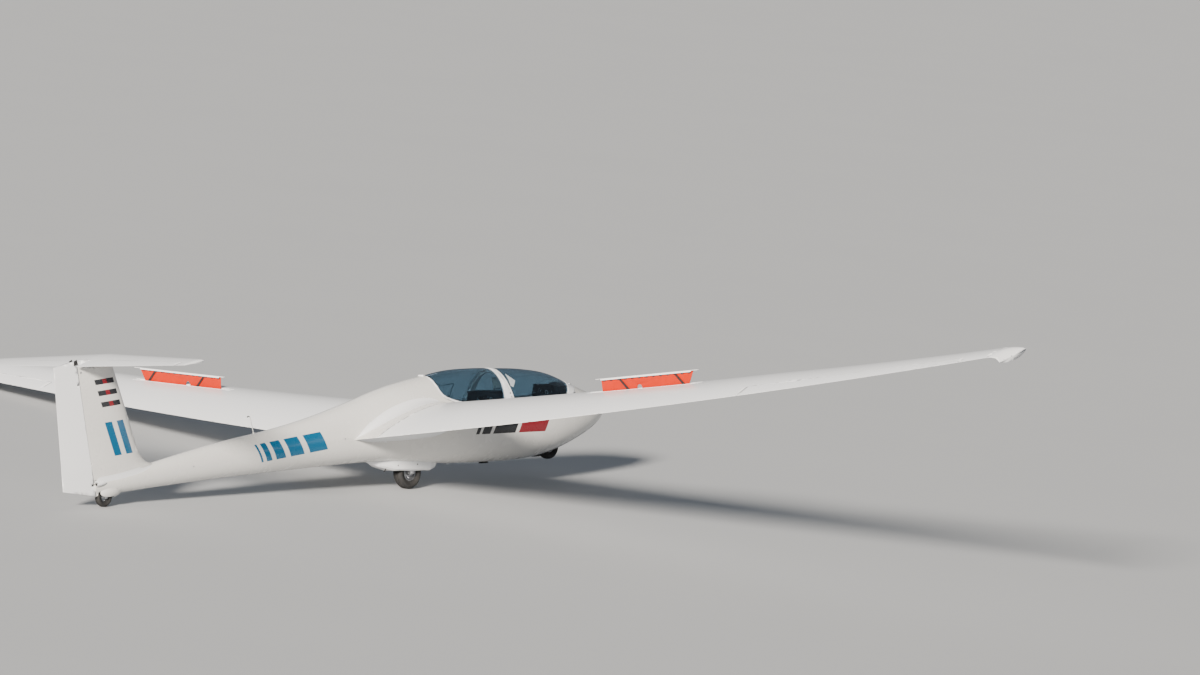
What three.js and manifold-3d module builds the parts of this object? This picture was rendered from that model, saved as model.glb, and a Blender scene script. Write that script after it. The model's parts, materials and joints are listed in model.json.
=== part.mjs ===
// A two-seat training sailplane: a glass-fibre pod and boom, a T-tail, mid-set wings with open
// airbrakes, one hinged canopy behind the other, and a fixed three-wheel gear.
// Millimetres. In the airframe's own frame x runs aft from the nose tip, y to starboard, z up.
// The whole airframe is then tilted to stand as it parks: on its main wheel, its tail wheel and
// its port wing tip.

import * as THREE from 'three';
import { mergeVertices } from 'three/addons/utils/BufferGeometryUtils.js';
import Module from 'manifold-3d';

const wasm = await Module();
wasm.setup();

// Driving dimensions
const FIT = 0.3; // gap between pieces that touch
const CLEAR = 5; // gap round pieces that move
const FULL_WIDTH = 1000; // wider than the pod
const WALL = 12; // the pod's shell
const CANOPY_FRAME = 22; // the canopy frames' depth
const FRAME_BAND = 22; // the canopy frames' width
const GLASS_DEPTH = 2; // the glass lies this far under the frame's outer face
const GLASS = 6;
const ARCH_DEPTH = 45;

const SEAM = 500; // where the wing leaves its root fairing
const AILERON_ROOT = 5226;
const AILERON_TIP = 7996;
const WING_TIP = 8350;
const DIHEDRAL = Math.tan(THREE.MathUtils.degToRad(3.977));
const INCIDENCE = Math.tan(THREE.MathUtils.degToRad(3));
const FLEX = 263; // rise of the tip by bending
const SEMISPAN = 8500;
const CAMBER = 0.035;

const TAILPLANE_HEIGHT = 1270;
const TAILPLANE_TILT = Math.tan(THREE.MathUtils.degToRad(2.5));
const TAILPLANE_MIDDLE = 7760;
const ELEVATOR_HINGE = 7870;
const ELEVATOR_REACH = 1400;
const RUDDER_FOOT = new THREE.Vector3(7949, 0, -141);
const RUDDER_HEAD = new THREE.Vector3(8059, 0, 1333);

const PIN = 4;
const BODY_SIDES = 28;
const AEROFOIL_STEPS = 12;

const airframe = new THREE.Group();
airframe.name = 'airframe';

const WHITE = new THREE.MeshStandardMaterial({ color: 0xf1f3f4, roughness: 0.25 });
const INSIDE_GREY = new THREE.MeshStandardMaterial({ color: 0xb9bdbf, roughness: 0.7 });
const DARK = new THREE.MeshStandardMaterial({ color: 0x202326, roughness: 0.8 });
const RUBBER = new THREE.MeshStandardMaterial({ color: 0x1b1b1c, roughness: 0.9 });
const METAL = new THREE.MeshStandardMaterial({ color: 0xa9adb0, roughness: 0.35, metalness: 0.9 });
const ORANGE = new THREE.MeshStandardMaterial({ color: 0xff6a1a, roughness: 0.4 });
const GLAZING = new THREE.MeshStandardMaterial({
  color: 0x5f8aa5,
  roughness: 0.05,
  opacity: 0.35,
  transparent: true,
});

/** The closed body of a geometry, turned face out. */
function solid(geometry) {
  const bare = geometry.clone();
  bare.deleteAttribute('normal');
  bare.deleteAttribute('uv');
  const merged = mergeVertices(bare, 1e-4);
  const vertProperties = new Float32Array(merged.getAttribute('position').array);
  const triVerts = new Uint32Array(merged.getIndex().array);
  const body = new wasm.Manifold(new wasm.Mesh({ numProp: 3, vertProperties, triVerts }));
  if (body.volume() > 0) return body;
  for (let i = 0; i < triVerts.length; i += 3) {
    [triVerts[i], triVerts[i + 1]] = [triVerts[i + 1], triVerts[i]];
  }
  return new wasm.Manifold(new wasm.Mesh({ numProp: 3, vertProperties, triVerts }));
}

function geometryOf(body) {
  const mesh = body.getMesh();
  const geometry = new THREE.BufferGeometry();
  geometry.setAttribute('position', new THREE.BufferAttribute(new Float32Array(mesh.vertProperties), 3));
  geometry.setIndex(new THREE.BufferAttribute(new Uint32Array(mesh.triVerts), 1));
  geometry.computeVertexNormals();
  return geometry;
}

/** The same body on the port side. */
function mirror(body) {
  return solid(geometryOf(body).scale(1, -1, 1));
}

/** Puts a body into the airframe, or onto one of its pivots. */
function addPiece(name, body, material, pivot = airframe) {
  const mesh = new THREE.Mesh(geometryOf(body), material);
  mesh.name = name;
  airframe.add(mesh);
  if (pivot !== airframe) pivot.attach(mesh);
  return mesh;
}

/** A group whose origin and y axis are a hinge's. */
function addPivot(name, origin, along, parent = airframe) {
  const pivot = new THREE.Group();
  pivot.name = name;
  pivot.position.copy(origin);
  pivot.quaternion.setFromUnitVectors(new THREE.Vector3(0, 1, 0), along.clone().normalize());
  airframe.add(pivot);
  airframe.updateMatrixWorld(true);
  if (parent !== airframe) parent.attach(pivot);
  return pivot;
}

/** A body through rings of equally many points, closed by a fan at each end. */
function loft(rings) {
  const around = rings[0].length;
  const tube = new THREE.CylinderGeometry(1, 1, 1, around, rings.length - 1);
  const position = tube.getAttribute('position');
  let next = 0;
  const put = (point) => {
    position.setXYZ(next, point.x, point.y, point.z);
    next += 1;
  };
  for (const ring of rings) {
    for (let i = 0; i <= around; i += 1) put(ring[i % around]);
  }
  for (const ring of [rings[0], rings.at(-1)]) {
    const centre = new THREE.Vector3();
    for (const point of ring) centre.addScaledVector(point, 1 / around);
    for (let i = 0; i < around; i += 1) put(centre);
    for (let i = 0; i <= around; i += 1) put(ring[i % around]);
  }
  return solid(tube);
}

/** A side outline of [x, z] corners, as thick as y runs. */
function prism(outline, fromY, toY) {
  const shape = new THREE.Shape(outline.map(([x, z]) => new THREE.Vector2(x, z)));
  return prismOf(shape, fromY, toY);
}

function prismOf(shape, fromY, toY, curveSegments = 8) {
  const geometry = new THREE.ExtrudeGeometry(shape, {
    depth: toY - fromY,
    bevelEnabled: false,
    curveSegments,
  });
  return solid(geometry.rotateX(Math.PI / 2).translate(0, toY, 0));
}

function box(fromX, toX, fromY, toY, fromZ, toZ) {
  const geometry = new THREE.BoxGeometry(toX - fromX, toY - fromY, toZ - fromZ);
  return solid(geometry.translate((fromX + toX) / 2, (fromY + toY) / 2, (fromZ + toZ) / 2));
}

/** A round bar between two points, with its own radius at each. */
function rod(from, to, radius, sides = 12, endRadius = radius) {
  const along = to.clone().sub(from);
  const geometry = new THREE.CylinderGeometry(endRadius, radius, along.length(), sides);
  const turn = new THREE.Quaternion().setFromUnitVectors(new THREE.Vector3(0, 1, 0), along.normalize());
  const middle = from.clone().add(to).multiplyScalar(0.5);
  return solid(geometry.applyQuaternion(turn).translate(middle.x, middle.y, middle.z));
}

/** A wheel part turned about y, from a closed profile of [radius, y]. */
function turned(profile, centre, segments) {
  const points = [...profile, profile[0]].map(([radius, y]) => new THREE.Vector2(radius, y));
  return solid(new THREE.LatheGeometry(points, segments).translate(centre.x, centre.y, centre.z));
}

/** A closed outline of [x, z] corners, each side moved inward by a distance. */
function inset(outline, distance) {
  const area = THREE.ShapeUtils.area(outline.map(([x, z]) => new THREE.Vector2(x, z)));
  const turn = Math.sign(area);
  return outline.map((corner, i) => {
    const before = outline.at(i - 1);
    const after = outline[(i + 1) % outline.length];
    const into = new THREE.Vector2(corner[0] - before[0], corner[1] - before[1]).normalize();
    const out = new THREE.Vector2(after[0] - corner[0], after[1] - corner[1]).normalize();
    const normal = new THREE.Vector2(-into.y - out.y, into.x + out.x).normalize();
    const stretch = (turn * distance) / normal.dot(new THREE.Vector2(-into.y, into.x));
    return [corner[0] + normal.x * stretch, corner[1] + normal.y * stretch];
  });
}

// The pod and boom's cross sections.
// Columns: x, top, bottom, half width, height of the greatest width, upper and lower roundness.
const BODY_TABLE = [
  [0, -125, -165, 20, -145, 2, 2],
  [40, -58, -232, 85, -145, 2, 2],
  [120, 0, -292, 145, -145, 2, 2.1],
  [270, 69, -355, 210, -140, 2, 2.2],
  [530, 183, -432, 275, -125, 2, 2.3],
  [900, 352, -512, 325, -100, 1.9, 2.4],
  [1300, 445, -548, 348, -80, 1.87, 2.4],
  [1700, 500, -535, 355, -60, 1.87, 2.4],
  [2100, 545, -500, 355, -40, 1.9, 2.4],
  [2500, 567, -458, 350, -20, 1.92, 2.4],
  [2864, 547, -415, 335, 0, 1.95, 2.35],
  [3370, 510, -345, 300, 20, 2, 2.3],
  [3700, 464, -295, 268, 30, 2, 2.25],
  [4000, 410, -268, 240, 30, 2, 2.2],
  [4707, 306, -228, 188, 25, 2, 2.1],
  [5300, 253, -199, 157, 20, 2, 2],
  [6073, 213, -165, 128, 15, 2, 2],
  [6700, 160, -144, 105, 5, 2, 2],
  [7102, 120, -134, 92, -5, 2, 2],
  [7539, 90, -124, 78, -15, 2, 2],
  [7951, 58, -112, 54, -28, 2, 2],
];

const bodySections = new THREE.CubicInterpolant(
  BODY_TABLE.map((row) => row[0]),
  BODY_TABLE.flatMap((row) => row.slice(1)),
  BODY_TABLE[0].length - 1,
);

function bodyRing(x, grow) {
  const [top, bottom, half, middle, upper, lower] = bodySections.evaluate(x);
  const ring = [];
  for (let i = 0; i < BODY_SIDES; i += 1) {
    const angle = (2 * Math.PI * i) / BODY_SIDES;
    const across = Math.cos(angle);
    const rise = Math.sin(angle);
    const power = 2 / (rise >= 0 ? upper : lower);
    const reach = (rise >= 0 ? top - middle : middle - bottom) + grow;
    const y = (half + grow) * Math.sign(across) * Math.abs(across) ** power;
    ring.push(new THREE.Vector3(x, y, middle + reach * Math.sign(rise) * Math.abs(rise) ** power));
  }
  return ring;
}

/** The pod and boom's skin, grown outward or inward, between two stations. */
function skin(grow, from = 0, to = 7951) {
  const stations = [from, to];
  BODY_TABLE.forEach(([x], i) => {
    stations.push(x);
    if (i > 0 && x < 4800) stations.push((x + BODY_TABLE[i - 1][0]) / 2);
  });
  const inside = [...new Set(stations)].filter((x) => x >= from && x <= to);
  inside.sort((a, b) => a - b);
  return loft(inside.map((x) => bodyRing(x, grow)));
}

// Aerofoils: points from the trailing edge over the top to the nose and back below.
function aerofoilRing(leading, trailing, normal, thickness, camber = 0, grow = 0) {
  const chord = trailing.distanceTo(leading);
  const point = (step, side) => {
    const u = (1 + Math.cos((Math.PI * step) / AEROFOIL_STEPS)) / 2;
    const half = halfThickness(u, thickness) * chord + grow;
    const lift = 4 * camber * u * (1 - u) * chord + side * half;
    return leading.clone().lerp(trailing, u).addScaledVector(normal, lift);
  };
  const ring = [];
  for (let step = 0; step <= AEROFOIL_STEPS; step += 1) ring.push(point(step, 1));
  for (let step = AEROFOIL_STEPS - (grow > 0 ? 0 : 1); step >= 0; step -= 1) ring.push(point(step, -1));
  return ring;
}

function halfThickness(u, thickness) {
  const shape = 0.2969 * Math.sqrt(u) - 0.126 * u - 0.3516 * u ** 2 + 0.2843 * u ** 3 - 0.1015 * u ** 4;
  return 5 * thickness * shape;
}

function between(table, at, column) {
  const xs = table.map((row) => row[0]);
  let i = 1;
  while (i < xs.length - 1 && at > xs[i]) i += 1;
  const share = (at - xs[i - 1]) / (xs[i] - xs[i - 1]);
  return table[i - 1][column] + share * (table[i][column] - table[i - 1][column]);
}

// Columns: y, leading edge x, trailing edge x, thickness over chord.
const WING_TABLE = [
  [0, 2645, 4198, 0.194],
  [500, 2651, 4151, 0.192],
  [5226, 2708, 3707, 0.17],
  [8350, 2943, 3438, 0.13],
];

/** The wing's section at y: its leading and trailing edges and thickness. */
function wingSection(y) {
  const leadingX = between(WING_TABLE, y, 1);
  const trailingX = between(WING_TABLE, y, 2);
  const trailingZ = -2 + DIHEDRAL * y + FLEX * (y / SEMISPAN) ** 2;
  return {
    leading: new THREE.Vector3(leadingX, y, trailingZ + (trailingX - leadingX) * INCIDENCE),
    trailing: new THREE.Vector3(trailingX, y, trailingZ),
    thickness: between(WING_TABLE, y, 3),
  };
}

const UP = new THREE.Vector3(0, 0, 1);
const STARBOARD = new THREE.Vector3(0, 1, 0);

/** The wing's skin (side 1 above, -1 below) or middle (side 0) over x, y. */
function wingPoint(x, y, side) {
  const { leading, trailing, thickness } = wingSection(y);
  const u = (x - leading.x) / (trailing.x - leading.x);
  const chord = trailing.distanceTo(leading);
  const lift = 4 * CAMBER * u * (1 - u) * chord + side * halfThickness(u, thickness) * chord;
  return new THREE.Vector3(x, y, THREE.MathUtils.lerp(leading.z, trailing.z, u) + lift);
}

function wingRing(y) {
  const { leading, trailing, thickness } = wingSection(y);
  return aerofoilRing(leading, trailing, UP, thickness, CAMBER);
}

/** The wing's root fairing, which spreads as it nears the pod. */
function rootFairing() {
  const rings = [160, 270, 380, SEAM].map((y) => {
    const { leading, trailing, thickness } = wingSection(y);
    const spread = ((SEAM - y) / SEAM) ** 2;
    leading.x -= 120 * spread;
    trailing.x += 110 * spread;
    return aerofoilRing(leading, trailing, UP, thickness * (1 + 0.3 * spread), CAMBER);
  });
  return loft(rings);
}

/** A frame on a hinge line: along it, aft of it and up from it. */
function hingeFrame(start, end) {
  const along = end.clone().sub(start).normalize();
  const aft = new THREE.Vector3(1, 0, 0);
  aft.addScaledVector(along, -aft.dot(along)).normalize();
  return { along, aft, up: aft.clone().cross(along).normalize(), length: end.distanceTo(start) };
}

/** All that turns about a hinge line: a round nose and what lies aft of it. */
function hingeBlock(start, end, radii, reach, grow = 0) {
  const { along, aft, up, length } = hingeFrame(start, end);
  const noseSteps = 10;
  const rings = radii.map((radius, i) => {
    const share = i / (radii.length - 1);
    const centre = start.clone().addScaledVector(along, -grow + share * (length + 2 * grow));
    const size = radius + grow;
    const at = (a, b) => centre.clone().addScaledVector(aft, a).addScaledVector(up, b);
    const ring = [at(reach, -size), at(reach, size)];
    for (let step = 0; step <= noseSteps; step += 1) {
      const angle = Math.PI * (0.5 + step / noseSteps);
      ring.push(at(size * Math.cos(angle), size * Math.sin(angle)));
    }
    return ring;
  });
  return loft(rings);
}

/** Two pins on a hinge line's ends, or the holes for them. */
function endPins(start, end, grow = 0) {
  const { along } = hingeFrame(start, end);
  const out = 15 + grow;
  const at = (end, offset) => end.clone().addScaledVector(along, offset);
  const first = rod(at(start, -out), at(start, 10), PIN + grow);
  const last = rod(at(end, -10), at(end, out), PIN + grow);
  return first.add(last);
}

/** A box on a hinge line at a share of its length. */
function hingeBox(start, end, share, halfAlong, fromAft, toAft, halfWide) {
  const { along, aft, up, length } = hingeFrame(start, end);
  const centre = start.clone().addScaledVector(along, share * length);
  centre.addScaledVector(aft, (fromAft + toAft) / 2);
  const basis = new THREE.Matrix4().makeBasis(along, aft, up).setPosition(centre);
  return solid(new THREE.BoxGeometry(2 * halfAlong, toAft - fromAft, 2 * halfWide).applyMatrix4(basis));
}

// Ailerons
const AILERON_AXIS = [
  wingPoint(3526, AILERON_ROOT, 0),
  wingPoint(3372, AILERON_TIP, 0),
];
const AILERON_NOSE = [42, 36, 30];

// Airbrakes: a blade on two parallel levers, in a slot in the wing's upper skin.
const BRAKE_FROM = wingPoint(3128, 2815, 1);
const BRAKE_TO = wingPoint(3116, 4240, 1);
const brakeAlong = BRAKE_TO.clone().sub(BRAKE_FROM).normalize();
const brakeUp = UP.clone().addScaledVector(brakeAlong, -UP.dot(brakeAlong)).normalize();
const brakeAft = brakeAlong.clone().cross(brakeUp);
const brakeBasis = new THREE.Matrix4().makeBasis(brakeAlong, brakeUp, brakeAft).setPosition(BRAKE_FROM);
const CAP_LENGTH = 1430;
const LEVER = 200;
const LEVER_OPEN = THREE.MathUtils.degToRad(48);
const LEVER_SHUT = THREE.MathUtils.degToRad(3);
const LEVER_DEPTH = 30; // the lever's lower pivot lies this far under the skin
const LEVER_TOPS = [322, 1102];
const leverRise = LEVER * Math.sin(LEVER_OPEN);
const leverRun = LEVER * Math.cos(LEVER_OPEN);
const bladeShift = LEVER * Math.cos(LEVER_SHUT) - leverRun;
const capTop = LEVER * (Math.sin(LEVER_OPEN) - Math.sin(LEVER_SHUT));

/** A box in the brake's frame: along the span, up from the skin, aft. */
function brakeBox(fromS, toS, fromN, toN, fromA, toA) {
  const geometry = new THREE.BoxGeometry(toS - fromS, toN - fromN, toA - fromA);
  geometry.translate((fromS + toS) / 2, (fromN + toN) / 2, (fromA + toA) / 2);
  return solid(geometry.applyMatrix4(brakeBasis));
}

function brakePlate(shape, fromA, toA) {
  const options = { depth: toA - fromA, bevelEnabled: false, curveSegments: 8 };
  const geometry = new THREE.ExtrudeGeometry(shape, options);
  return solid(geometry.translate(0, 0, fromA).applyMatrix4(brakeBasis));
}

function brakePoint(s, n, a) {
  return new THREE.Vector3(s, n, a).applyMatrix4(brakeBasis);
}

function brakeSlot() {
  const slot = brakeBox(60 - bladeShift - CLEAR, 1365, -165, 60, -15, 15);
  return slot.add(brakeBox(-bladeShift - CLEAR, CAP_LENGTH - bladeShift + CLEAR, -6, 60, -22, 22));
}

function brakePivots() {
  const pins = LEVER_TOPS.map((s) => {
    const at = s + leverRun;
    return rod(brakePoint(at, -LEVER_DEPTH, -4), brakePoint(at, -LEVER_DEPTH, 20), 6);
  });
  return pins[0].add(pins[1]);
}

function brakeBlade() {
  const pivotHeight = leverRise - LEVER_DEPTH;
  const low = pivotHeight - 140;
  const high = pivotHeight + 14;
  const shape = new THREE.Shape();
  shape.moveTo(60, low);
  shape.lineTo(552, low);
  shape.lineTo(552, 5);
  shape.absarc(587, 5, 35, Math.PI, 0, true);
  shape.lineTo(622, low);
  shape.lineTo(1284, low);
  shape.lineTo(1284, 0);
  shape.lineTo(1360, high);
  shape.lineTo(60, high);
  let blade = brakePlate(shape, -12, -8);
  for (const s of LEVER_TOPS) {
    const hole = rod(brakePoint(s, pivotHeight, -20), brakePoint(s, pivotHeight, 0), PIN + FIT + 1);
    blade = blade.subtract(hole);
  }
  return blade;
}

function brakeCap() {
  const under = leverRise - LEVER_DEPTH + 14 + FIT;
  return brakeBox(0, CAP_LENGTH, under, under + 5, -17, 17);
}

function brakeLever(topS) {
  const base = new THREE.Vector2(topS + leverRun, -LEVER_DEPTH);
  const top = new THREE.Vector2(topS, leverRise - LEVER_DEPTH);
  const tilt = Math.atan2(top.y - base.y, top.x - base.x);
  const shape = new THREE.Shape();
  shape.absarc(top.x, top.y, 11, tilt - Math.PI / 2, tilt + Math.PI / 2, false);
  shape.absarc(base.x, base.y, 13, tilt + Math.PI / 2, tilt + 1.5 * Math.PI, false);
  const plate = brakePlate(shape, -4, 2);
  const hole = rod(brakePoint(base.x, base.y, -10), brakePoint(base.x, base.y, 10), 6 + FIT);
  const pin = rod(brakePoint(top.x, top.y, -13), brakePoint(top.x, top.y, -1), PIN + 1);
  return plate.subtract(hole).add(pin);
}

function wing() {
  const inner = [SEAM + FIT, 1400, 2400, 3500, 4400];
  const spans = [...inner, AILERON_ROOT, 5900, 6700, 7400, AILERON_TIP, WING_TIP - FIT];
  const outer = loft(spans.map(wingRing));
  const [root, tip] = AILERON_AXIS;
  return outer
    .subtract(hingeBlock(root, tip, AILERON_NOSE, 400, CLEAR))
    .subtract(endPins(root, tip, FIT))
    .subtract(brakeSlot())
    .add(brakePivots());
}

function aileron() {
  const spans = [AILERON_ROOT - 60, 5900, 6700, 7400, AILERON_TIP + 60];
  const [root, tip] = AILERON_AXIS;
  const surface = loft(spans.map(wingRing)).intersect(hingeBlock(root, tip, AILERON_NOSE, 300));
  return surface.add(endPins(root, tip));
}

/** The down-turned tip. Columns: y, drop of the trailing edge, chord, drop of the leading edge, camber. */
function wingTip() {
  const table = [
    [WING_TIP, 0, 495, 0, CAMBER],
    [8420, 10, 485, 0, 0.02],
    [8470, 32, 475, 2, -0.02],
    [SEMISPAN, 66, 455, 8, -0.05],
  ];
  const { thickness } = wingSection(WING_TIP);
  const rings = table.map(([y, drop, chord, leadingDrop, camber]) => {
    const { leading, trailing } = wingSection(y);
    leading.copy(trailing).add(new THREE.Vector3(-chord, 0, chord * INCIDENCE - leadingDrop));
    trailing.z -= drop;
    return aerofoilRing(leading, trailing, UP, thickness, camber);
  });
  return loft(rings);
}

// Canopy outlines, seen from the side.
const ABOVE = 700;
const HINGE_RISE = 5; // the canopies' hinge pins lie this far above the skin
const skinTop = (x) => bodySections.evaluate(x)[0];
const FRONT_HINGE = new THREE.Vector3(513, 0, skinTop(513) + HINGE_RISE);
const REAR_HINGE = new THREE.Vector3(2871, 0, skinTop(2871) + HINGE_RISE);
const ARCH_FRONT = 1774;
const ARCH_FOOT = 143;
const ARCH_RADIUS = 1062; // of the arch's rear edge, about the rear hinge, so the canopy clears it
const ARCH_TOP = 562;
const ARCH_STEPS = 8;
const archRear = Array.from({ length: ARCH_STEPS + 1 }, (_, i) => {
  const z = THREE.MathUtils.lerp(ARCH_FOOT, ARCH_TOP, i / ARCH_STEPS);
  return [REAR_HINGE.x - Math.sqrt(ARCH_RADIUS ** 2 - (z - REAR_HINGE.z) ** 2), z];
});

const FRONT_OUTLINE = [
  [515, ABOVE],
  [515, 174],
  [718, 66],
  [ARCH_FRONT, 94],
  [ARCH_FRONT, ABOVE],
];
const FRONT_WINDOW = [
  [640, ABOVE],
  [640, 254],
  [828, 97],
  [1747, 121],
  [1747, ABOVE],
];
const ARCH_OUTLINE = [[ARCH_FRONT, 94.5], ...archRear, [ARCH_FRONT, ARCH_TOP]];
const REAR_OUTLINE = [
  [2540, 194],
  [2640, 218],
  [2730, 250],
  [2800, 284],
  [2845, 325],
  [2868, 375],
  [2868, ABOVE],
  [archRear.at(-1)[0], ABOVE],
  ...archRear.toReversed(),
];
const REAR_WINDOW = inset(REAR_OUTLINE, CLEAR + FRAME_BAND);

function across(outline, distance = 0) {
  const shaped = distance === 0 ? outline : inset(outline, distance);
  return prism(shaped, -FULL_WIDTH, FULL_WIDTH);
}

function canopyShell(outer, inner) {
  return skin(-outer, 300, 3000).subtract(skin(-inner, 299, 3001));
}

/** A canopy's hinge knuckle with its tongue onto the frame. */
function canopyKnuckle(hinge, tongueEnd) {
  const half = 36;
  const side = new THREE.Vector3(0, half, 0);
  const barrel = rod(hinge.clone().sub(side), hinge.clone().add(side), 8);
  const under = [[hinge.x, hinge.z - 4], [tongueEnd.x, tongueEnd.z - 8]];
  const over = [[tongueEnd.x, tongueEnd.z], [hinge.x, hinge.z + 4]];
  const tongue = prism([...under, ...over], -half, half);
  const bore = rod(hinge.clone().addScaledVector(side, -2), hinge.clone().addScaledVector(side, 2), 3 + FIT);
  return barrel.add(tongue).subtract(bore);
}

/** The fixed lugs and the pin of a canopy's hinge. */
function canopyLugs(hinge) {
  const pin = rod(new THREE.Vector3(hinge.x, -50, hinge.z), new THREE.Vector3(hinge.x, 50, hinge.z), 3);
  const lug = box(hinge.x - 9, hinge.x + 9, 38, 50, hinge.z - 24, hinge.z + 8);
  return pin.add(lug).add(mirror(lug));
}

function canopyPocket(hinge) {
  return rod(new THREE.Vector3(hinge.x, -38, hinge.z), new THREE.Vector3(hinge.x, 38, hinge.z), 8 + CLEAR);
}

/** A canopy's frame: a band of shell round its window, and its hinge. */
function canopyFrame(outline, window, hinge, tongueEnd) {
  const band = canopyShell(0, CANOPY_FRAME).intersect(across(outline, CLEAR)).subtract(across(window));
  const lugRoom = box(hinge.x - 15, hinge.x + 15, 36, 56, hinge.z - 40, hinge.z + 15);
  return band
    .subtract(canopyPocket(hinge))
    .subtract(lugRoom)
    .subtract(mirror(lugRoom))
    .add(canopyKnuckle(hinge, tongueEnd));
}

function canopyGlass(window) {
  return canopyShell(GLASS_DEPTH, GLASS_DEPTH + GLASS).intersect(across(window, FIT));
}

function canopyArch() {
  return canopyShell(0, ARCH_DEPTH).intersect(across(ARCH_OUTLINE));
}

// Wheels. tyre: radius and width; well: the room round it, from its centre.
const MAIN = { centre: new THREE.Vector3(3212, 0, -472), radius: 180, width: 127, rim: 92 };
const NOSE = { centre: new THREE.Vector3(917, 0, -468), radius: 148, width: 100, rim: 72 };
const TAIL = { centre: new THREE.Vector3(7783, 0, -140), radius: 105, width: 65, rim: 52 };

function tyre({ centre, radius, width, rim }, segments) {
  const half = width / 2;
  const profile = [
    [rim, -0.62 * half],
    [rim + 0.3 * (radius - rim), -0.9 * half],
    [rim + 0.6 * (radius - rim), -half],
    [rim + 0.85 * (radius - rim), -0.78 * half],
    [radius - 0.02 * radius, -0.42 * half],
    [radius, 0],
    [radius - 0.02 * radius, 0.42 * half],
    [rim + 0.85 * (radius - rim), 0.78 * half],
    [rim + 0.6 * (radius - rim), half],
    [rim + 0.3 * (radius - rim), 0.9 * half],
    [rim, 0.62 * half],
  ];
  return turned(profile, centre, segments);
}

const AXLE = 12;
const RIM_SEGMENTS = 20;

function wheelRim({ centre, width, rim: seat }, segments) {
  const half = (0.62 * width) / 2;
  const rim = seat * Math.cos(Math.PI / segments);
  const hub = half + 6;
  const profile = [
    [AXLE + FIT, -hub],
    [AXLE + 20, -hub],
    [AXLE + 24, -8],
    [rim - 14, -8],
    [rim - 8, -half],
    [rim - FIT, -half],
    [rim - FIT, half],
    [rim - 8, half],
    [rim - 14, 8],
    [AXLE + 24, 8],
    [AXLE + 20, hub],
    [AXLE + FIT, hub],
  ];
  return turned(profile, centre, RIM_SEGMENTS);
}

/** A wheel's fork: two legs from the well's roof, and the axle between them. */
function fork({ centre, width }, roof, legHalf, legWide = 8) {
  const inner = width / 2 + CLEAR + 1;
  const leg = box(centre.x - legHalf, centre.x + legHalf, inner, inner + legWide, centre.z - 20, roof - FIT);
  const axle = rod(
    new THREE.Vector3(centre.x, -inner - legWide, centre.z),
    new THREE.Vector3(centre.x, inner + legWide, centre.z),
    AXLE,
    16,
  );
  return leg.add(mirror(leg)).add(axle);
}

const MAIN_ROOF = -250;
const NOSE_ROOF = -300;
const TAIL_ROOF = -24;

function wheelWells() {
  const mainWell = box(MAIN.centre.x - 215, MAIN.centre.x + 215, -86, 86, -700, MAIN_ROOF);
  const noseWell = box(NOSE.centre.x - 165, NOSE.centre.x + 165, -72, 72, -700, NOSE_ROOF);
  const reach = TAIL.radius + CLEAR + 1;
  const round = rod(
    new THREE.Vector3(TAIL.centre.x, -50, TAIL.centre.z),
    new THREE.Vector3(TAIL.centre.x, 50, TAIL.centre.z),
    reach,
    28,
  );
  const legRoom = box(TAIL.centre.x - 24, TAIL.centre.x + 24, -50, 50, -200, TAIL_ROOF);
  return { mainWell, noseWell, tailWell: round.add(legRoom) };
}

/** The cockpit's hollow, round the nose wheel's housing. */
function cockpitRoom() {
  const housing = box(NOSE.centre.x - 177, NOSE.centre.x + 177, -84, 84, -700, NOSE_ROOF + WALL);
  return skin(-WALL, 330, 2880).subtract(housing);
}

const RUDDER_NOSE = [46, 40, 34];
const LUG_SHARES = [0.0957, 0.8148];

function tailLug(share) {
  const lug = hingeBox(RUDDER_FOOT, RUDDER_HEAD, share, 7, -62, 9, 10);
  const { along, length } = hingeFrame(RUDDER_FOOT, RUDDER_HEAD);
  const low = RUDDER_FOOT.clone().addScaledVector(along, share * length - 20);
  const high = RUDDER_FOOT.clone().addScaledVector(along, share * length + 20);
  return lug.subtract(rod(low, high, PIN + FIT));
}

function fuselage() {
  const blister = solid(
    new THREE.SphereGeometry(1, 20, 12).scale(200, 72, 75).translate(TAIL.centre.x - 60, 0, -92),
  );
  const { mainWell, noseWell, tailWell } = wheelWells();
  const fairing = rootFairing();
  return skin(0)
    .add(fairing)
    .add(mirror(fairing))
    .add(blister)
    .subtract(cockpitRoom())
    .subtract(across(FRONT_OUTLINE))
    .subtract(across(ARCH_OUTLINE, -FIT))
    .subtract(across(REAR_OUTLINE))
    .subtract(canopyPocket(FRONT_HINGE))
    .subtract(canopyPocket(REAR_HINGE))
    .add(canopyLugs(FRONT_HINGE))
    .add(canopyLugs(REAR_HINGE))
    .subtract(mainWell)
    .subtract(noseWell)
    .subtract(tailWell)
    .subtract(hingeBlock(RUDDER_FOOT, RUDDER_HEAD, RUDDER_NOSE, 400, CLEAR))
    .add(tailLug(LUG_SHARES[0]));
}

/** The canoe under the belly round the main wheel. Columns: x, half width, bottom. */
function mainWheelFairing() {
  const table = [
    [2743, 10, -435],
    [2830, 70, -468],
    [2940, 106, -484],
    [3220, 120, -455],
    [3490, 112, -419],
    [3700, 70, -350],
    [3839, 10, -280],
  ];
  const rings = table.map(([x, half, bottom]) => {
    const ring = [];
    const top = -250;
    const corners = [[1, top], [1, bottom + 45], [0.94, bottom + 18], [0.72, bottom]];
    for (const [share, z] of corners) ring.push(new THREE.Vector3(x, half * share, Math.min(z, top)));
    for (const [share, z] of corners.toReversed()) {
      ring.push(new THREE.Vector3(x, -half * share, Math.min(z, top)));
    }
    return ring;
  });
  return loft(rings).subtract(skin(FIT)).subtract(wheelWells().mainWell);
}

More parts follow.
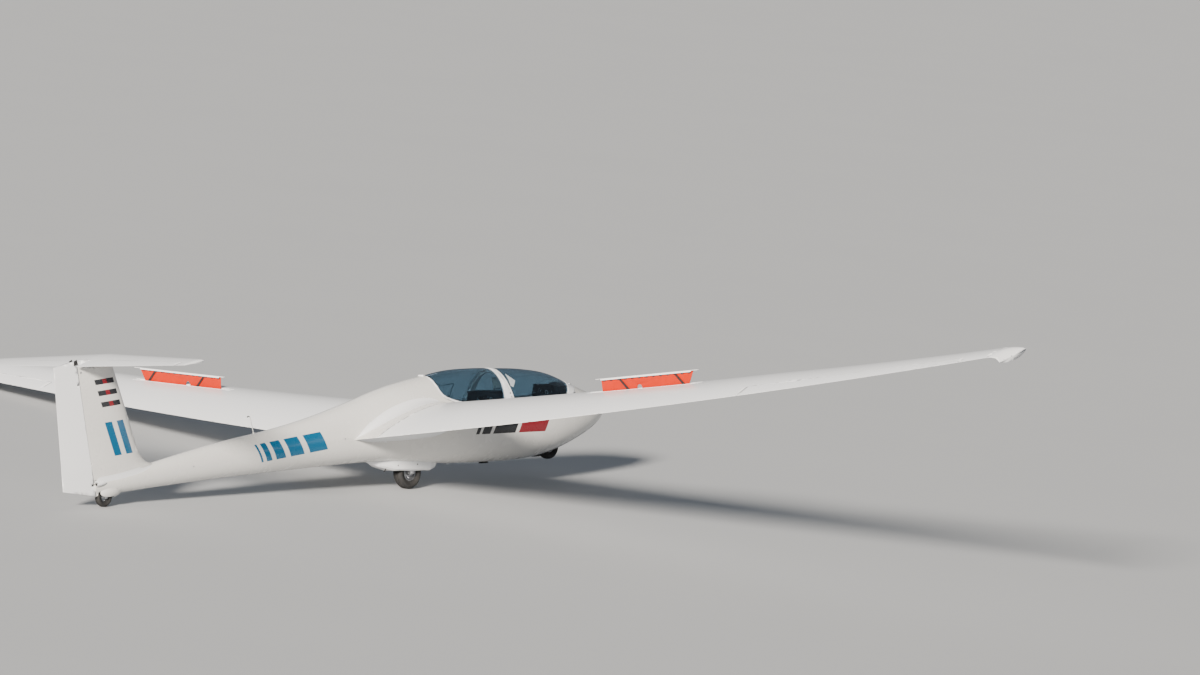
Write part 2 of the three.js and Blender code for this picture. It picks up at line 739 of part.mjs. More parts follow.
// The upright tail. Columns: z, leading edge x, trailing edge x, thickness over chord.
const TAIL_TABLE = [
  [-150, 7000, 8348, 0.102],
  [60, 7010, 8346, 0.105],
  [112, 7030, 8346, 0.108],
  [128, 7085, 8345, 0.112],
  [150, 7135, 8345, 0.117],
  [185, 7175, 8345, 0.12],
  [230, 7212, 8344, 0.122],
  [290, 7245, 8343, 0.122],
  [651, 7348, 8341, 0.118],
  [1180, 7500, 8337, 0.11],
  [1340, 7546, 8335, 0.106],
];

function uprightTail() {
  const rings = TAIL_TABLE.map(([z, leadingX, trailingX, thickness]) => {
    const leading = new THREE.Vector3(leadingX, 0, z);
    return aerofoilRing(leading, new THREE.Vector3(trailingX, 0, z), STARBOARD, thickness);
  });
  return loft(rings);
}

// The tailplane. Columns: y, leading edge x, trailing edge x, thickness over chord.
const TAILPLANE_TABLE = [
  [-1550, 7682, 7960, 0.08],
  [-1515, 7652, 7968, 0.13],
  [-1400, 7628, 7981, 0.14],
  [0, 7440, 8081, 0.165],
  [1400, 7628, 7981, 0.14],
  [1515, 7652, 7968, 0.13],
  [1550, 7682, 7960, 0.08],
];
const tailplaneLine = (x) => TAILPLANE_HEIGHT - (x - TAILPLANE_MIDDLE) * TAILPLANE_TILT;
const ELEVATOR_NOSE = [20, 36, 20];
const ELEVATOR_AXIS = [
  new THREE.Vector3(ELEVATOR_HINGE, -ELEVATOR_REACH, tailplaneLine(ELEVATOR_HINGE)),
  new THREE.Vector3(ELEVATOR_HINGE, ELEVATOR_REACH, tailplaneLine(ELEVATOR_HINGE)),
];

function wholeTailplane(grow = 0) {
  const rings = TAILPLANE_TABLE.map(([y, leadingX, trailingX, thickness]) => {
    const leading = new THREE.Vector3(leadingX - grow, y, tailplaneLine(leadingX));
    const trailing = new THREE.Vector3(trailingX + grow, y, tailplaneLine(trailingX));
    return aerofoilRing(leading, trailing, UP, thickness, 0, grow);
  });
  return loft(rings);
}

function tailplane() {
  return wholeTailplane()
    .subtract(hingeBlock(...ELEVATOR_AXIS, ELEVATOR_NOSE, 400, CLEAR))
    .subtract(endPins(...ELEVATOR_AXIS, FIT));
}

function elevator() {
  const notch = box(ELEVATOR_HINGE + 6, 8200, -65, 65, TAILPLANE_HEIGHT - 80, TAILPLANE_HEIGHT + 80);
  return wholeTailplane()
    .intersect(hingeBlock(...ELEVATOR_AXIS, ELEVATOR_NOSE, 300))
    .subtract(notch)
    .add(endPins(...ELEVATOR_AXIS));
}

function fin() {
  const side = [[7000, 50], [8200, 50], [8200, 1262], [7912, 1262], [7898, 1219], [7000, 1240]];
  return uprightTail()
    .intersect(across(side))
    .subtract(hingeBlock(RUDDER_FOOT, RUDDER_HEAD, RUDDER_NOSE, 400, CLEAR))
    .subtract(skin(FIT))
    .subtract(wholeTailplane(FIT))
    .add(tailLug(LUG_SHARES[1]));
}

function rudder() {
  const side = [[7850, -134], [8400, -7], [8400, 1266], [7950, 1314]];
  const { along, length } = hingeFrame(RUDDER_FOOT, RUDDER_HEAD);
  let body = uprightTail().intersect(hingeBlock(RUDDER_FOOT, RUDDER_HEAD, RUDDER_NOSE, 450));
  body = body.intersect(across(side));
  for (const share of LUG_SHARES) {
    const at = (offset) => RUDDER_FOOT.clone().addScaledVector(along, share * length + offset);
    body = body.subtract(hingeBox(RUDDER_FOOT, RUDDER_HEAD, share, 12, -70, 15, 80));
    body = body.add(rod(at(-16), at(16), PIN));
  }
  return body;
}

/** A folded sheet: a line of [x, z] corners, thickened by a shift. */
function sheet(line, shift, halfWide) {
  const back = line.toReversed().map(([x, z]) => [x + shift[0], z + shift[1]]);
  return prism([...line, ...back], -halfWide, halfWide);
}

function frontSeat() {
  const line = [[1172, -425], [1340, -492], [1400, -480], [1640, 40], [1660, 110]];
  return sheet(line, [13, -9], 235).intersect(skin(-WALL - FIT, 330, 2880));
}

function rearSeat() {
  const line = [[2030, -345], [2230, -405], [2300, -390], [2600, 150], [2630, 240]];
  return sheet(line, [13, -9], 235).intersect(skin(-WALL - FIT, 330, 2880));
}

/** A prism along x, of an outline seen from behind. */
function bulkhead(outline, fromX, toX) {
  const shape = new THREE.Shape(outline.map(([y, z]) => new THREE.Vector2(y, z)));
  const geometry = new THREE.ExtrudeGeometry(shape, { depth: toX - fromX, bevelEnabled: false });
  return solid(geometry.rotateX(Math.PI / 2).rotateZ(Math.PI / 2).translate(fromX, 0, 0));
}

function frontPanel() {
  const halfFace = [[178, -40], [178, 125], [150, 200], [112, 236]];
  const otherHalf = halfFace.map(([y, z]) => [-y, z]).toReversed();
  const side = [[838, 60], [848, 196], [948, 232], [953, 221], [925, 208], [912, -20], [890, -30]];
  const cowl = prism(side, -185, 185).intersect(bulkhead([...halfFace, ...otherHalf], 800, 1000));
  const foot = NOSE_ROOF + WALL + FIT;
  const column = prism([[850, 120], [915, 120], [908, -60], [960, foot], [860, foot]], -80, 80);
  return cowl.add(column).intersect(skin(-34, 330, 2880));
}

function rearPanel() {
  const side = [[1735, 255], [1905, 262], [1908, 250], [1884, 240], [1868, -20], [1850, -20], [1770, 200]];
  return prism(side, -400, 400).intersect(skin(-ARCH_DEPTH - FIT, 330, 2880));
}

/** A control stick on its boot. */
function stick(x, foot, top) {
  const boot = rod(new THREE.Vector3(x, 0, foot - 60), new THREE.Vector3(x, 0, foot + 70), 42, 16, 14);
  const shaft = rod(new THREE.Vector3(x, 0, foot), new THREE.Vector3(x - 20, 0, top), 10);
  const grip = rod(new THREE.Vector3(x - 14, 0, top - 110), new THREE.Vector3(x - 20, 0, top), 16, 12, 18);
  return boot.add(shaft).add(grip).intersect(skin(-WALL - FIT, 330, 2880));
}

function energyProbe() {
  const path = new THREE.CatmullRomCurve3([
    new THREE.Vector3(5518, 0, 230),
    new THREE.Vector3(5536, 0, 330),
    new THREE.Vector3(5552, 0, 415),
    new THREE.Vector3(5572, 0, 432),
    new THREE.Vector3(5590, 0, 428),
  ]);
  const section = new THREE.Shape();
  section.absarc(0, 0, 5, 0, 2 * Math.PI);
  const tube = new THREE.ExtrudeGeometry(section, { steps: 12, curveSegments: 4, extrudePath: path });
  const base = rod(new THREE.Vector3(5516, 0, 220), new THREE.Vector3(5521, 0, 262), 9);
  return solid(tube).add(base).subtract(skin(FIT));
}

/** A tow release: a block in the belly with a flat lower face. */
function towRelease(x, bottom) {
  return box(x - 45, x + 45, -22, 22, bottom, bottom + 60).subtract(skin(FIT));
}

function addCockpit() {
  addPiece('fuselage', fuselage(), WHITE);
  addPiece('canopy_arch', canopyArch(), WHITE);
  addPiece('main_wheel_fairing', mainWheelFairing(), WHITE);
  addPiece('front_seat', frontSeat(), INSIDE_GREY);
  addPiece('rear_seat', rearSeat(), INSIDE_GREY);
  addPiece('front_panel', frontPanel(), DARK);
  addPiece('rear_panel', rearPanel(), DARK);
  addPiece('front_stick', stick(1130, -530, -90), DARK);
  addPiece('rear_stick', stick(1985, -496, -40), DARK);
  addPiece('energy_probe', energyProbe(), METAL);
  addPiece('nose_tow_release', towRelease(640, -472), METAL);
  addPiece('belly_tow_release', towRelease(2560, -462), METAL);
}

function addCanopies() {
  const front = addPivot('front_canopy_pivot', FRONT_HINGE, STARBOARD);
  const rear = addPivot('rear_canopy_pivot', REAR_HINGE, STARBOARD);
  const frontTongue = new THREE.Vector3(545, 0, skinTop(545) - 4);
  const rearTongue = new THREE.Vector3(2848, 0, skinTop(2848) - 4);
  const frontFrame = canopyFrame(FRONT_OUTLINE, FRONT_WINDOW, FRONT_HINGE, frontTongue);
  const rearFrame = canopyFrame(REAR_OUTLINE, REAR_WINDOW, REAR_HINGE, rearTongue);
  addPiece('front_canopy_frame', frontFrame, WHITE, front);
  addPiece('front_canopy_glass', canopyGlass(FRONT_WINDOW), GLAZING, front);
  addPiece('rear_canopy_frame', rearFrame, WHITE, rear);
  addPiece('rear_canopy_glass', canopyGlass(REAR_WINDOW), GLAZING, rear);
}

function addWheels() {
  // Columns: name, wheel, well's roof, half length of a fork leg, segments.
  const wheels = [
    ['main', MAIN, MAIN_ROOF, 34, 36],
    ['nose', NOSE, NOSE_ROOF, 26, 28],
    ['tail', TAIL, TAIL_ROOF, 18, 24],
  ];
  for (const [name, wheel, roof, legHalf, segments] of wheels) {
    const pivot = addPivot(`${name}_wheel_pivot`, wheel.centre, STARBOARD);
    addPiece(`${name}_tyre`, tyre(wheel, segments), RUBBER, pivot);
    addPiece(`${name}_wheel_rim`, wheelRim(wheel, segments), METAL, pivot);
    addPiece(`${name}_wheel_fork`, fork(wheel, roof, legHalf, name === 'tail' ? 4 : 8), METAL);
  }
}

function addTail() {
  addPiece('fin', fin(), WHITE);
  addPiece('tailplane', tailplane(), WHITE);
  const rudderPivot = addPivot('rudder_pivot', RUDDER_FOOT, RUDDER_HEAD.clone().sub(RUDDER_FOOT));
  addPiece('rudder', rudder(), WHITE, rudderPivot);
  const elevatorPivot = addPivot('elevator_pivot', ELEVATOR_AXIS[0], STARBOARD);
  addPiece('elevator', elevator(), WHITE, elevatorPivot);
}

/** A point or direction on one side of the airframe: side 1 starboard, -1 port. */
function sided(vector, side) {
  return new THREE.Vector3(vector.x, vector.y * side, vector.z);
}

function addWings() {
  for (const [name, side] of [['right', 1], ['left', -1]]) {
    const hand = (body) => (side > 0 ? body : mirror(body));
    addPiece(`wing_${name}`, hand(wing()), WHITE);
    addPiece(`wing_tip_${name}`, hand(wingTip()), WHITE);

    const [root, tip] = AILERON_AXIS.map((point) => sided(point, side));
    const aileronPivot = addPivot(`aileron_${name}_pivot`, root, tip.clone().sub(root));
    addPiece(`aileron_${name}`, hand(aileron()), WHITE, aileronPivot);

    const axis = sided(brakeAft, side);
    const pivots = LEVER_TOPS.map((s, i) => {
      const foot = sided(brakePoint(s + leverRun, -LEVER_DEPTH, 0), side);
      return addPivot(`brake_${['inner', 'outer'][i]}_lever_${name}_pivot`, foot, axis);
    });
    addPiece(`brake_inner_lever_${name}`, hand(brakeLever(LEVER_TOPS[0])), METAL, pivots[0]);
    addPiece(`brake_outer_lever_${name}`, hand(brakeLever(LEVER_TOPS[1])), METAL, pivots[1]);
    const top = sided(brakePoint(LEVER_TOPS[0], leverRise - LEVER_DEPTH, 0), side);
    const bladePivot = addPivot(`brake_blade_${name}_pivot`, top, axis, pivots[0]);
    addPiece(`brake_blade_${name}`, hand(brakeBlade()), ORANGE, bladePivot);
    addPiece(`brake_cap_${name}`, hand(brakeCap()), WHITE, bladePivot);
  }
}

/** The vertex of a piece that lies furthest along a direction. */
function furthest(name, direction) {
  const mesh = airframe.getObjectByName(name);
  mesh.updateWorldMatrix(true, false);
  const position = mesh.geometry.getAttribute('position');
  const point = new THREE.Vector3();
  const best = new THREE.Vector3();
  let reach = -Infinity;
  for (let i = 0; i < position.count; i += 1) {
    point.fromBufferAttribute(position, i).applyMatrix4(mesh.matrixWorld);
    if (point.dot(direction) > reach) {
      reach = point.dot(direction);
      best.copy(point);
    }
  }
  return best;
}

/** The ground's upward normal under the wheels and the port wing tip. */
function groundNormal() {
  const down = new THREE.Vector3(0, 0, -1);
  for (let pass = 0; pass < 30; pass += 1) {
    const [main, tail, tip] = ['main_tyre', 'tail_tyre', 'wing_tip_left'].map((name) => furthest(name, down));
    down.copy(tail.sub(main).cross(tip.sub(main))).normalize();
    if (down.z > 0) down.negate();
  }
  return down.negate();
}

/** Tilts the airframe onto its three points and centres it over the origin. */
function park() {
  const up = groundNormal();
  const aft = new THREE.Vector3(1, 0, 0).addScaledVector(up, -up.x).normalize();
  const starboard = up.clone().cross(aft);
  airframe.quaternion.setFromRotationMatrix(new THREE.Matrix4().makeBasis(aft, starboard, up).transpose());
  airframe.updateMatrixWorld(true);
  const bounds = new THREE.Box3().setFromObject(airframe, true);
  const centre = bounds.getCenter(new THREE.Vector3());
  airframe.position.set(-centre.x, -centre.y, -bounds.min.z);
}

addCockpit();
addCanopies();
addWings();
addTail();
addWheels();
park();

const sailplane = new THREE.Group();
sailplane.name = 'sailplane';
sailplane.add(airframe);
sailplane.updateMatrixWorld(true);

export default sailplane;
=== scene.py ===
"""The looks of a two-seat training sailplane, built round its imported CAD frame.

Everything is modelled level, in metres: x aft from the nose, y to starboard, z up. The last
step of each piece tilts it to where the sailplane parks, on two wheels and its port wing tip.
"""

import json
import math
from contextlib import contextmanager

import bmesh
import bpy
import numpy as np
from mathutils import Matrix, Vector
from mathutils.bvhtree import BVHTree


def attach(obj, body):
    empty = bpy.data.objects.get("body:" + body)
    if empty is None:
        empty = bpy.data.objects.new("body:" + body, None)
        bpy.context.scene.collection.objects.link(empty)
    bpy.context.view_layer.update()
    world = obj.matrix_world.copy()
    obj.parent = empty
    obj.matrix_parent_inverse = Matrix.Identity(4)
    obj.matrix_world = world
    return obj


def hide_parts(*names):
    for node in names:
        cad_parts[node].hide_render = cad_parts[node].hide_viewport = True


bl_info = {
    "name": "Training Sailplane",
    "version": (1, 0, 0),
    "blender": (4, 5, 0),
    "location": "View3D > Sidebar > Sailplane",
    "description": "Dresses a packed two-seat sailplane with its skins, cockpit, gear and airbrakes",
    "category": "Object",
}

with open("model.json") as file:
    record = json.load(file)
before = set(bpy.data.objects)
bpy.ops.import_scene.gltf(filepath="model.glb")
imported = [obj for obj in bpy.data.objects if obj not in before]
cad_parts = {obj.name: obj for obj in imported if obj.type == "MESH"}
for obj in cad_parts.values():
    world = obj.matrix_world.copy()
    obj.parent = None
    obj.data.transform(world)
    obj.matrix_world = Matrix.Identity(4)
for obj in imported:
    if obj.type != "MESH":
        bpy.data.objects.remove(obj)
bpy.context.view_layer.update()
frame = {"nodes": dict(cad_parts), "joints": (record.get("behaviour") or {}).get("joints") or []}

MM = 1000
STARBOARD = Vector((0, 1, 0))
SIDES = ((1, "right"), (-1, "left"))
CORNERS = ((-1, -1), (1, -1), (1, 1), (-1, 1))
MIRROR = Matrix.Scale(-1, 4, STARBOARD)

# The three wheels' centres, level.
MAIN_WHEEL = Vector((3.212, 0, -0.472))
NOSE_WHEEL = Vector((0.917, 0, -0.468))
TAIL_WHEEL = Vector((7.783, 0, -0.14))


def parked_matrix():
    """From the level frame to where the sailplane parks, read from the wheels' joints."""
    joints = {joint["name"]: joint for joint in frame["joints"]}
    main = Vector(joints["main_wheel_spin"]["pos_m"])
    starboard = Vector(joints["main_wheel_spin"]["axis"]).normalized()
    run = Vector(joints["tail_wheel_spin"]["pos_m"]) - main
    level_run = TAIL_WHEEL - MAIN_WHEEL
    aft = (run * level_run.x + starboard.cross(run) * level_run.z).normalized()
    up = aft.cross(starboard).normalized()
    turn = Matrix((aft, starboard, up)).transposed()
    return Matrix.Translation(main - turn @ MAIN_WHEEL) @ turn.to_4x4()


PARKED = parked_matrix()
LEVEL = PARKED.inverted()

# The exact surfaces, in millimetres. The pod and boom's sections: x, top, bottom, half width,
# height of the greatest width, upper and lower roundness.
BODY_TABLE = np.array([
    [0, -125, -165, 20, -145, 2, 2],
    [40, -58, -232, 85, -145, 2, 2],
    [120, 0, -292, 145, -145, 2, 2.1],
    [270, 69, -355, 210, -140, 2, 2.2],
    [530, 183, -432, 275, -125, 2, 2.3],
    [900, 352, -512, 325, -100, 1.9, 2.4],
    [1300, 445, -548, 348, -80, 1.87, 2.4],
    [1700, 500, -535, 355, -60, 1.87, 2.4],
    [2100, 545, -500, 355, -40, 1.9, 2.4],
    [2500, 567, -458, 350, -20, 1.92, 2.4],
    [2864, 547, -415, 335, 0, 1.95, 2.35],
    [3370, 510, -345, 300, 20, 2, 2.3],
    [3700, 464, -295, 268, 30, 2, 2.25],
    [4000, 410, -268, 240, 30, 2, 2.2],
    [4707, 306, -228, 188, 25, 2, 2.1],
    [5300, 253, -199, 157, 20, 2, 2],
    [6073, 213, -165, 128, 15, 2, 2],
    [6700, 160, -144, 105, 5, 2, 2],
    [7102, 120, -134, 92, -5, 2, 2],
    [7539, 90, -124, 78, -15, 2, 2],
    [7951, 58, -112, 54, -28, 2, 2],
])
# The wings: y, leading edge x, trailing edge x, thickness over chord.
WING_TABLE = np.array([
    [0, 2645, 4198, 0.194],
    [500, 2651, 4151, 0.192],
    [5226, 2708, 3707, 0.17],
    [8350, 2943, 3438, 0.13],
])
# The turned-down wing tips: y, drop of the trailing edge, chord, drop of the leading edge, camber.
TIP_TABLE = np.array([
    [8350, 0, 495, 0, 0.035],
    [8420, 10, 485, 0, 0.02],
    [8470, 32, 475, 2, -0.02],
    [8500, 66, 455, 8, -0.05],
])
# The upright tail: z, leading edge x, trailing edge x, thickness over chord.
TAIL_TABLE = np.array([
    [-150, 7000, 8348, 0.102],
    [60, 7010, 8346, 0.105],
    [112, 7030, 8346, 0.108],
    [128, 7085, 8345, 0.112],
    [150, 7135, 8345, 0.117],
    [185, 7175, 8345, 0.12],
    [230, 7212, 8344, 0.122],
    [290, 7245, 8343, 0.122],
    [651, 7348, 8341, 0.118],
    [1180, 7500, 8337, 0.11],
    [1340, 7546, 8335, 0.106],
])
# The tailplane: half span, leading edge x, trailing edge x, thickness over chord.
TAILPLANE_TABLE = np.array([
    [0, 7440, 8081, 0.165],
    [1400, 7628, 7981, 0.14],
    [1515, 7652, 7968, 0.13],
    [1550, 7682, 7960, 0.08],
])
DIHEDRAL = math.tan(math.radians(3.977))
INCIDENCE = math.tan(math.radians(3))
WING_HEIGHT = -2
FLEX = 263
SEMISPAN = 8500
SEAM = 500
CAMBER = 0.035
FAIRING_REACH = (120, 110)  # how far the root fairing runs ahead of and behind the wing
FAIRING_SWELL = 0.3
TAILPLANE_HEIGHT = 1270
TAILPLANE_MIDDLE = 7760
TAILPLANE_TILT = math.tan(math.radians(2.5))
BLISTER = np.array([7723, 0, -92])
BLISTER_SIZE = np.array([200, 72, 75])
POD_WALL = 12
ARCH_WALL = 45
CANOPY_WALL = 22
PANE_DEPTHS = (2, 8)
AEROFOIL_STEPS = 12
NOSE_STEP = (1 - math.cos(math.pi / AEROFOIL_STEPS)) / 2


def cubic_rows(table, x):
    """The table's columns at each x, on the same smooth curves as the CAD's sections."""
    knots, values = table[:, 0], table[:, 1:]
    last = len(knots) - 1
    i1 = np.clip(np.searchsorted(knots, x, side="right"), 1, last)
    i0 = i1 - 1
    t0, t1 = knots[i0], knots[i1]
    before = np.where(i0 > 0, i0 - 1, i1)
    after = np.where(i1 < last, i1 + 1, i0)
    t_before = np.where(i0 > 0, knots[before], t1)
    t_after = np.where(i1 < last, knots[after], t0)
    half = (t1 - t0) / 2
    w_before = half / (t0 - t_before)
    w_after = half / (t_after - t1)
    p = (x - t0) / (t1 - t0)
    pp, ppp = p * p, p * p * p
    s_before = -w_before * ppp + 2 * w_before * pp - w_before * p
    s0 = (1 + w_before) * ppp + (-1.5 - 2 * w_before) * pp + (-0.5 + w_before) * p + 1
    s1 = (-1 - w_after) * ppp + (1.5 + w_after) * pp + 0.5 * p
    s_after = w_after * ppp - w_after * pp
    return (s_before[:, None] * values[before] + s0[:, None] * values[i0]
            + s1[:, None] * values[i1] + s_after[:, None] * values[after])


def body_ratio(points, grow):
    """How far out each point lies, as a share of the pod and boom's skin grown by a distance."""
    top, bottom, half, middle, upper, lower = cubic_rows(BODY_TABLE, points[:, 0]).T
    above = points[:, 2] >= middle
    reach = np.where(above, top - middle, middle - bottom) + grow
    power = np.where(above, upper, lower)
    share = (np.abs(points[:, 1] / (half + grow)) ** power
             + np.abs((points[:, 2] - middle) / reach) ** power)
    return np.maximum(share, 1e-9) ** (1 / power), middle, np.minimum(reach, half + grow)


def body_depth(points):
    """Roughly how far inside the pod and boom's skin each point lies."""
    ratio, _, reach = body_ratio(points, 0)
    return (1 - ratio) * reach


def onto_body(depth):
    """The surface at a depth below the pod and boom's skin."""
    def surface(points):
        ratio, middle, _ = body_ratio(points, -depth)
        points[:, 1] /= ratio
        points[:, 2] = middle + (points[:, 2] - middle) / ratio
        return points
    return surface


def half_thickness(u, thickness):
    u = np.clip(u, 0, 1)
    return 5 * thickness * (0.2969 * np.sqrt(u) - 0.126 * u - 0.3516 * u ** 2
                            + 0.2843 * u ** 3 - 0.1015 * u ** 4)


def round_nose(u):
    """Slides points of the flat facets at an aerofoil's nose to where the round nose has them."""
    share = np.clip(u / NOSE_STEP, 0, 1)
    slid = (1 - np.cos(math.pi * share / AEROFOIL_STEPS)) / 2
    return np.where(u < NOSE_STEP, slid, np.clip(u, 0, 1))


def columns(table, at):
    return [np.interp(at, table[:, 0], table[:, i]) for i in range(1, table.shape[1])]


def wing_frame(points):
    """The wing's section at each point: leading x, trailing x, trailing z and thickness."""
    y = np.abs(points[:, 1])
    leading, trailing, thickness = columns(WING_TABLE, y)
    return leading, trailing, WING_HEIGHT + DIHEDRAL * y + FLEX * (y / SEMISPAN) ** 2, thickness


def onto_section(points, leading, trailing, nose, tail, thickness, camber=CAMBER):
    """Onto an aerofoil whose leading and trailing edges lie at the heights nose and tail."""
    chord = trailing - leading
    slant = np.hypot(chord, nose - tail)

    def middle(u):
        return nose + (tail - nose) * u + 4 * camber * u * (1 - u) * slant

    u = (points[:, 0] - leading) / chord
    side = np.where(points[:, 2] >= middle(u), 1.0, -1.0)
    u = round_nose(u)
    points[:, 0] = leading + u * chord
    points[:, 2] = middle(u) + side * half_thickness(u, thickness) * slant
    return points


def onto_root_fairing(points):
    leading, trailing, height, thickness = wing_frame(points)
    spread = (np.clip(SEAM - np.abs(points[:, 1]), 0, None) / SEAM) ** 2
    ahead, behind = FAIRING_REACH
    return onto_section(points, leading - ahead * spread, trailing + behind * spread,
                        height + (trailing - leading) * INCIDENCE, height,
                        thickness * (1 + FAIRING_SWELL * spread))


def onto_wing(points):
    leading, trailing, height, thickness = wing_frame(points)
    return onto_section(points, leading, trailing, height + (trailing - leading) * INCIDENCE,
                        height, thickness)


def onto_wing_tip(points):
    drop, chord, leading_drop, camber = cubic_rows(TIP_TABLE, np.abs(points[:, 1])).T
    _, trailing, height, _ = wing_frame(points)
    return onto_section(points, trailing - chord, trailing, height + chord * INCIDENCE - leading_drop,
                        height - drop, WING_TABLE[-1, 3], camber)


def onto_upright_tail(points):
    leading, trailing, thickness = columns(TAIL_TABLE, points[:, 2])
    chord = trailing - leading
    u = round_nose((points[:, 0] - leading) / chord)
    side = np.where(points[:, 1] >= 0, 1.0, -1.0)
    points[:, 0] = leading + u * chord
    points[:, 1] = side * half_thickness(u, thickness) * chord
    return points


def tailplane_line(x):
    return TAILPLANE_HEIGHT - (x - TAILPLANE_MIDDLE) * TAILPLANE_TILT


def onto_tailplane(points):
    leading, trailing, thickness = columns(TAILPLANE_TABLE, np.abs(points[:, 1]))
    return onto_section(points, leading, trailing, tailplane_line(leading), tailplane_line(trailing),
                        thickness, 0)


def onto_blister(points):
    away = (points - BLISTER) / BLISTER_SIZE
    return BLISTER + away / np.linalg.norm(away, axis=1)[:, None] * BLISTER_SIZE


def drift(surface, points):
    """How far each point is from a surface."""
    return np.linalg.norm(surface(points.copy()) - points, axis=1)


def wing_leading(points):
    return columns(WING_TABLE, np.abs(points[:, 1]))[0]


def tip_leading(points):
    y = np.abs(points[:, 1])
    return columns(WING_TABLE, y)[1] - columns(TIP_TABLE, y)[1]


def upright_leading(points):
    return columns(TAIL_TABLE, points[:, 2])[0]


def tailplane_leading(points):
    return columns(TAILPLANE_TABLE, np.abs(points[:, 1]))[0]


# Places on the exact surfaces, in metres.

FAR = 100  # high above or far below every surface


def on_surface(surface, x, y, z):
    return Vector(surface(np.array([[x * MM, y * MM, z * MM]]))[0] / MM)


def root_top(x, y, way):
    """The height of the wing root's skin above (1) or below (-1)."""
    return surface_value(onto_root_fairing, x, y, FAR * way)[2]


def surface_value(surface, x, y, z):
    """A place on a surface with all its digits."""
    return surface(np.array([[x * MM, y * MM, z * MM]]))[0] / MM


def fin_point(x, z, side):
    return on_surface(onto_upright_tail, x, side / MM, z)


def pod_half_width(x, z, inset=0.0):
    """Half the pod's width at a height, less an inset."""
    top, bottom, half, middle, upper, lower = cubic_rows(BODY_TABLE, np.array([x * 1000.0]))[0]
    z *= MM
    power, reach = (upper, top - middle) if z >= middle else (lower, middle - bottom)
    share = max(0.0, 1 - abs((z - middle) / reach) ** power)
    return half * share ** (1 / power) / MM - inset


def skin_top(x):
    """The height of the pod and boom's top."""
    return float(cubic_rows(BODY_TABLE, np.array([x * 1000.0]))[0, 0]) / MM


def skin_point(x, z, side, out=0.0):
    """A point on the pod or boom's side at a height, lifted off it."""
    return Vector((x, side * (pod_half_width(x, z) + out), z))


def skin_normal(x, z, side, step=0.004):
    here, above, aft = skin_point(x, z, side), skin_point(x, z + step, side), skin_point(x + step, z, side)
    normal = (above - here).cross(aft - here).normalized()
    return normal if normal.y * side > 0 else -normal


# How a piece is selected, cut finer, laid on its surface and parked.

COPY_MERGE = 0.00005
PART_MERGE = 0.00002
REFINE_ROUNDS = 7
# Limits, in millimetres, that tell a skin's facets from the cuts and walls beside them.
NOSE_REACH = 35  # how far behind a leading edge the facets are cut finer
BLUNT_NOSE = 300  # ahead of this the pod turns so fast that its facets lie deep below the skin
BLISTER_ENDS = (7500, 7925)
FAIRING_FROM = 150
SPANWISE = 0.9  # a facet that faces along the span by more than this is an end, not skin


def alone(piece):
    """Selects one object and nothing else."""
    bpy.ops.object.select_all(action="DESELECT")
    piece.select_set(True)
    bpy.context.view_layer.objects.active = piece
    return piece


@contextmanager
def editing(piece):
    """Edit mode on one object with all of it selected, and its bmesh."""
    alone(piece)
    bpy.ops.object.mode_set(mode="EDIT")
    bpy.ops.mesh.select_all(action="SELECT")
    try:
        yield bmesh.from_edit_mesh(piece.data)
    finally:
        bpy.ops.object.mode_set(mode="OBJECT")


def choose(piece, elements, kind, wanted):
    """Selects in edit mode the edges or faces that wanted() accepts."""
    bpy.ops.mesh.select_mode(type=kind)
    bpy.ops.mesh.select_all(action="DESELECT")
    for element in elements:
        if wanted(element):
            element.select = True
    bmesh.from_edit_mesh(piece.data).select_flush_mode()
    bmesh.update_edit_mesh(piece.data)


def close_up(merge=0.0):
    """In edit mode: merges corners that meet, and turns all faces outwards."""
    bpy.ops.mesh.select_all(action="SELECT")
    if merge:
        bpy.ops.mesh.remove_doubles(threshold=merge)
    bpy.ops.mesh.normals_make_consistent(inside=False)


def smooth(piece, degrees=30):
    alone(piece)
    bpy.ops.object.shade_smooth_by_angle(angle=math.radians(degrees), keep_sharp_edges=False)
    return piece


def read(elements, attribute, width=3, kind=float):
    """An attribute of all vertices or facets, as an array."""
    flat = np.empty(len(elements) * width, kind)
    elements.foreach_get(attribute, flat)
    return flat.reshape(-1, width) if width > 1 else flat


def set_points(mesh, points):
    mesh.vertices.foreach_set("co", points.ravel())
    mesh.update()


def settled(piece):
    """Puts an object's place into its mesh."""
    alone(piece)
    bpy.ops.object.transform_apply(location=True, rotation=True, scale=True)
    return piece


def parked(name, piece, body="airframe", node=None):
    """The last step of a piece: its place goes into its mesh, tilted as the sailplane parks."""
    settled(piece)
    piece.name = name
    piece.data.transform(PARKED)
    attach(piece, body)
    if node:
        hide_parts(node)
    return piece


def joined(parts):
    """Several parts made one, in the first one's object."""
    bpy.ops.object.select_all(action="DESELECT")
    for part in parts:
        part.select_set(True)
    bpy.context.view_layer.objects.active = parts[0]
    if len(parts) > 1:
        bpy.ops.object.join()
    return parts[0]


def fitted(name, parts, slot, finish=None, body="airframe", node=None, soft=None):
    """One piece made of parts, in one finish (the slot's own, if none is named), and parked."""
    piece = joined(parts)
    if soft:
        smooth(piece, soft)
    piece.data.materials.clear()
    piece.data.materials.append(finish_named(finish or slot))
    return parked(name, piece, body, node)


def carried(piece, matrix):
    """Moves a piece's mesh, right side out also where the matrix mirrors it."""
    piece.data.transform(matrix)
    if matrix.determinant() < 0:
        piece.data.flip_normals()
    return piece


def copied(piece, matrix):
    """A copy with its own mesh, moved in its mesh."""
    twin = piece.copy()
    twin.data = piece.data.copy()
    bpy.context.scene.collection.objects.link(twin)
    return carried(twin, matrix)


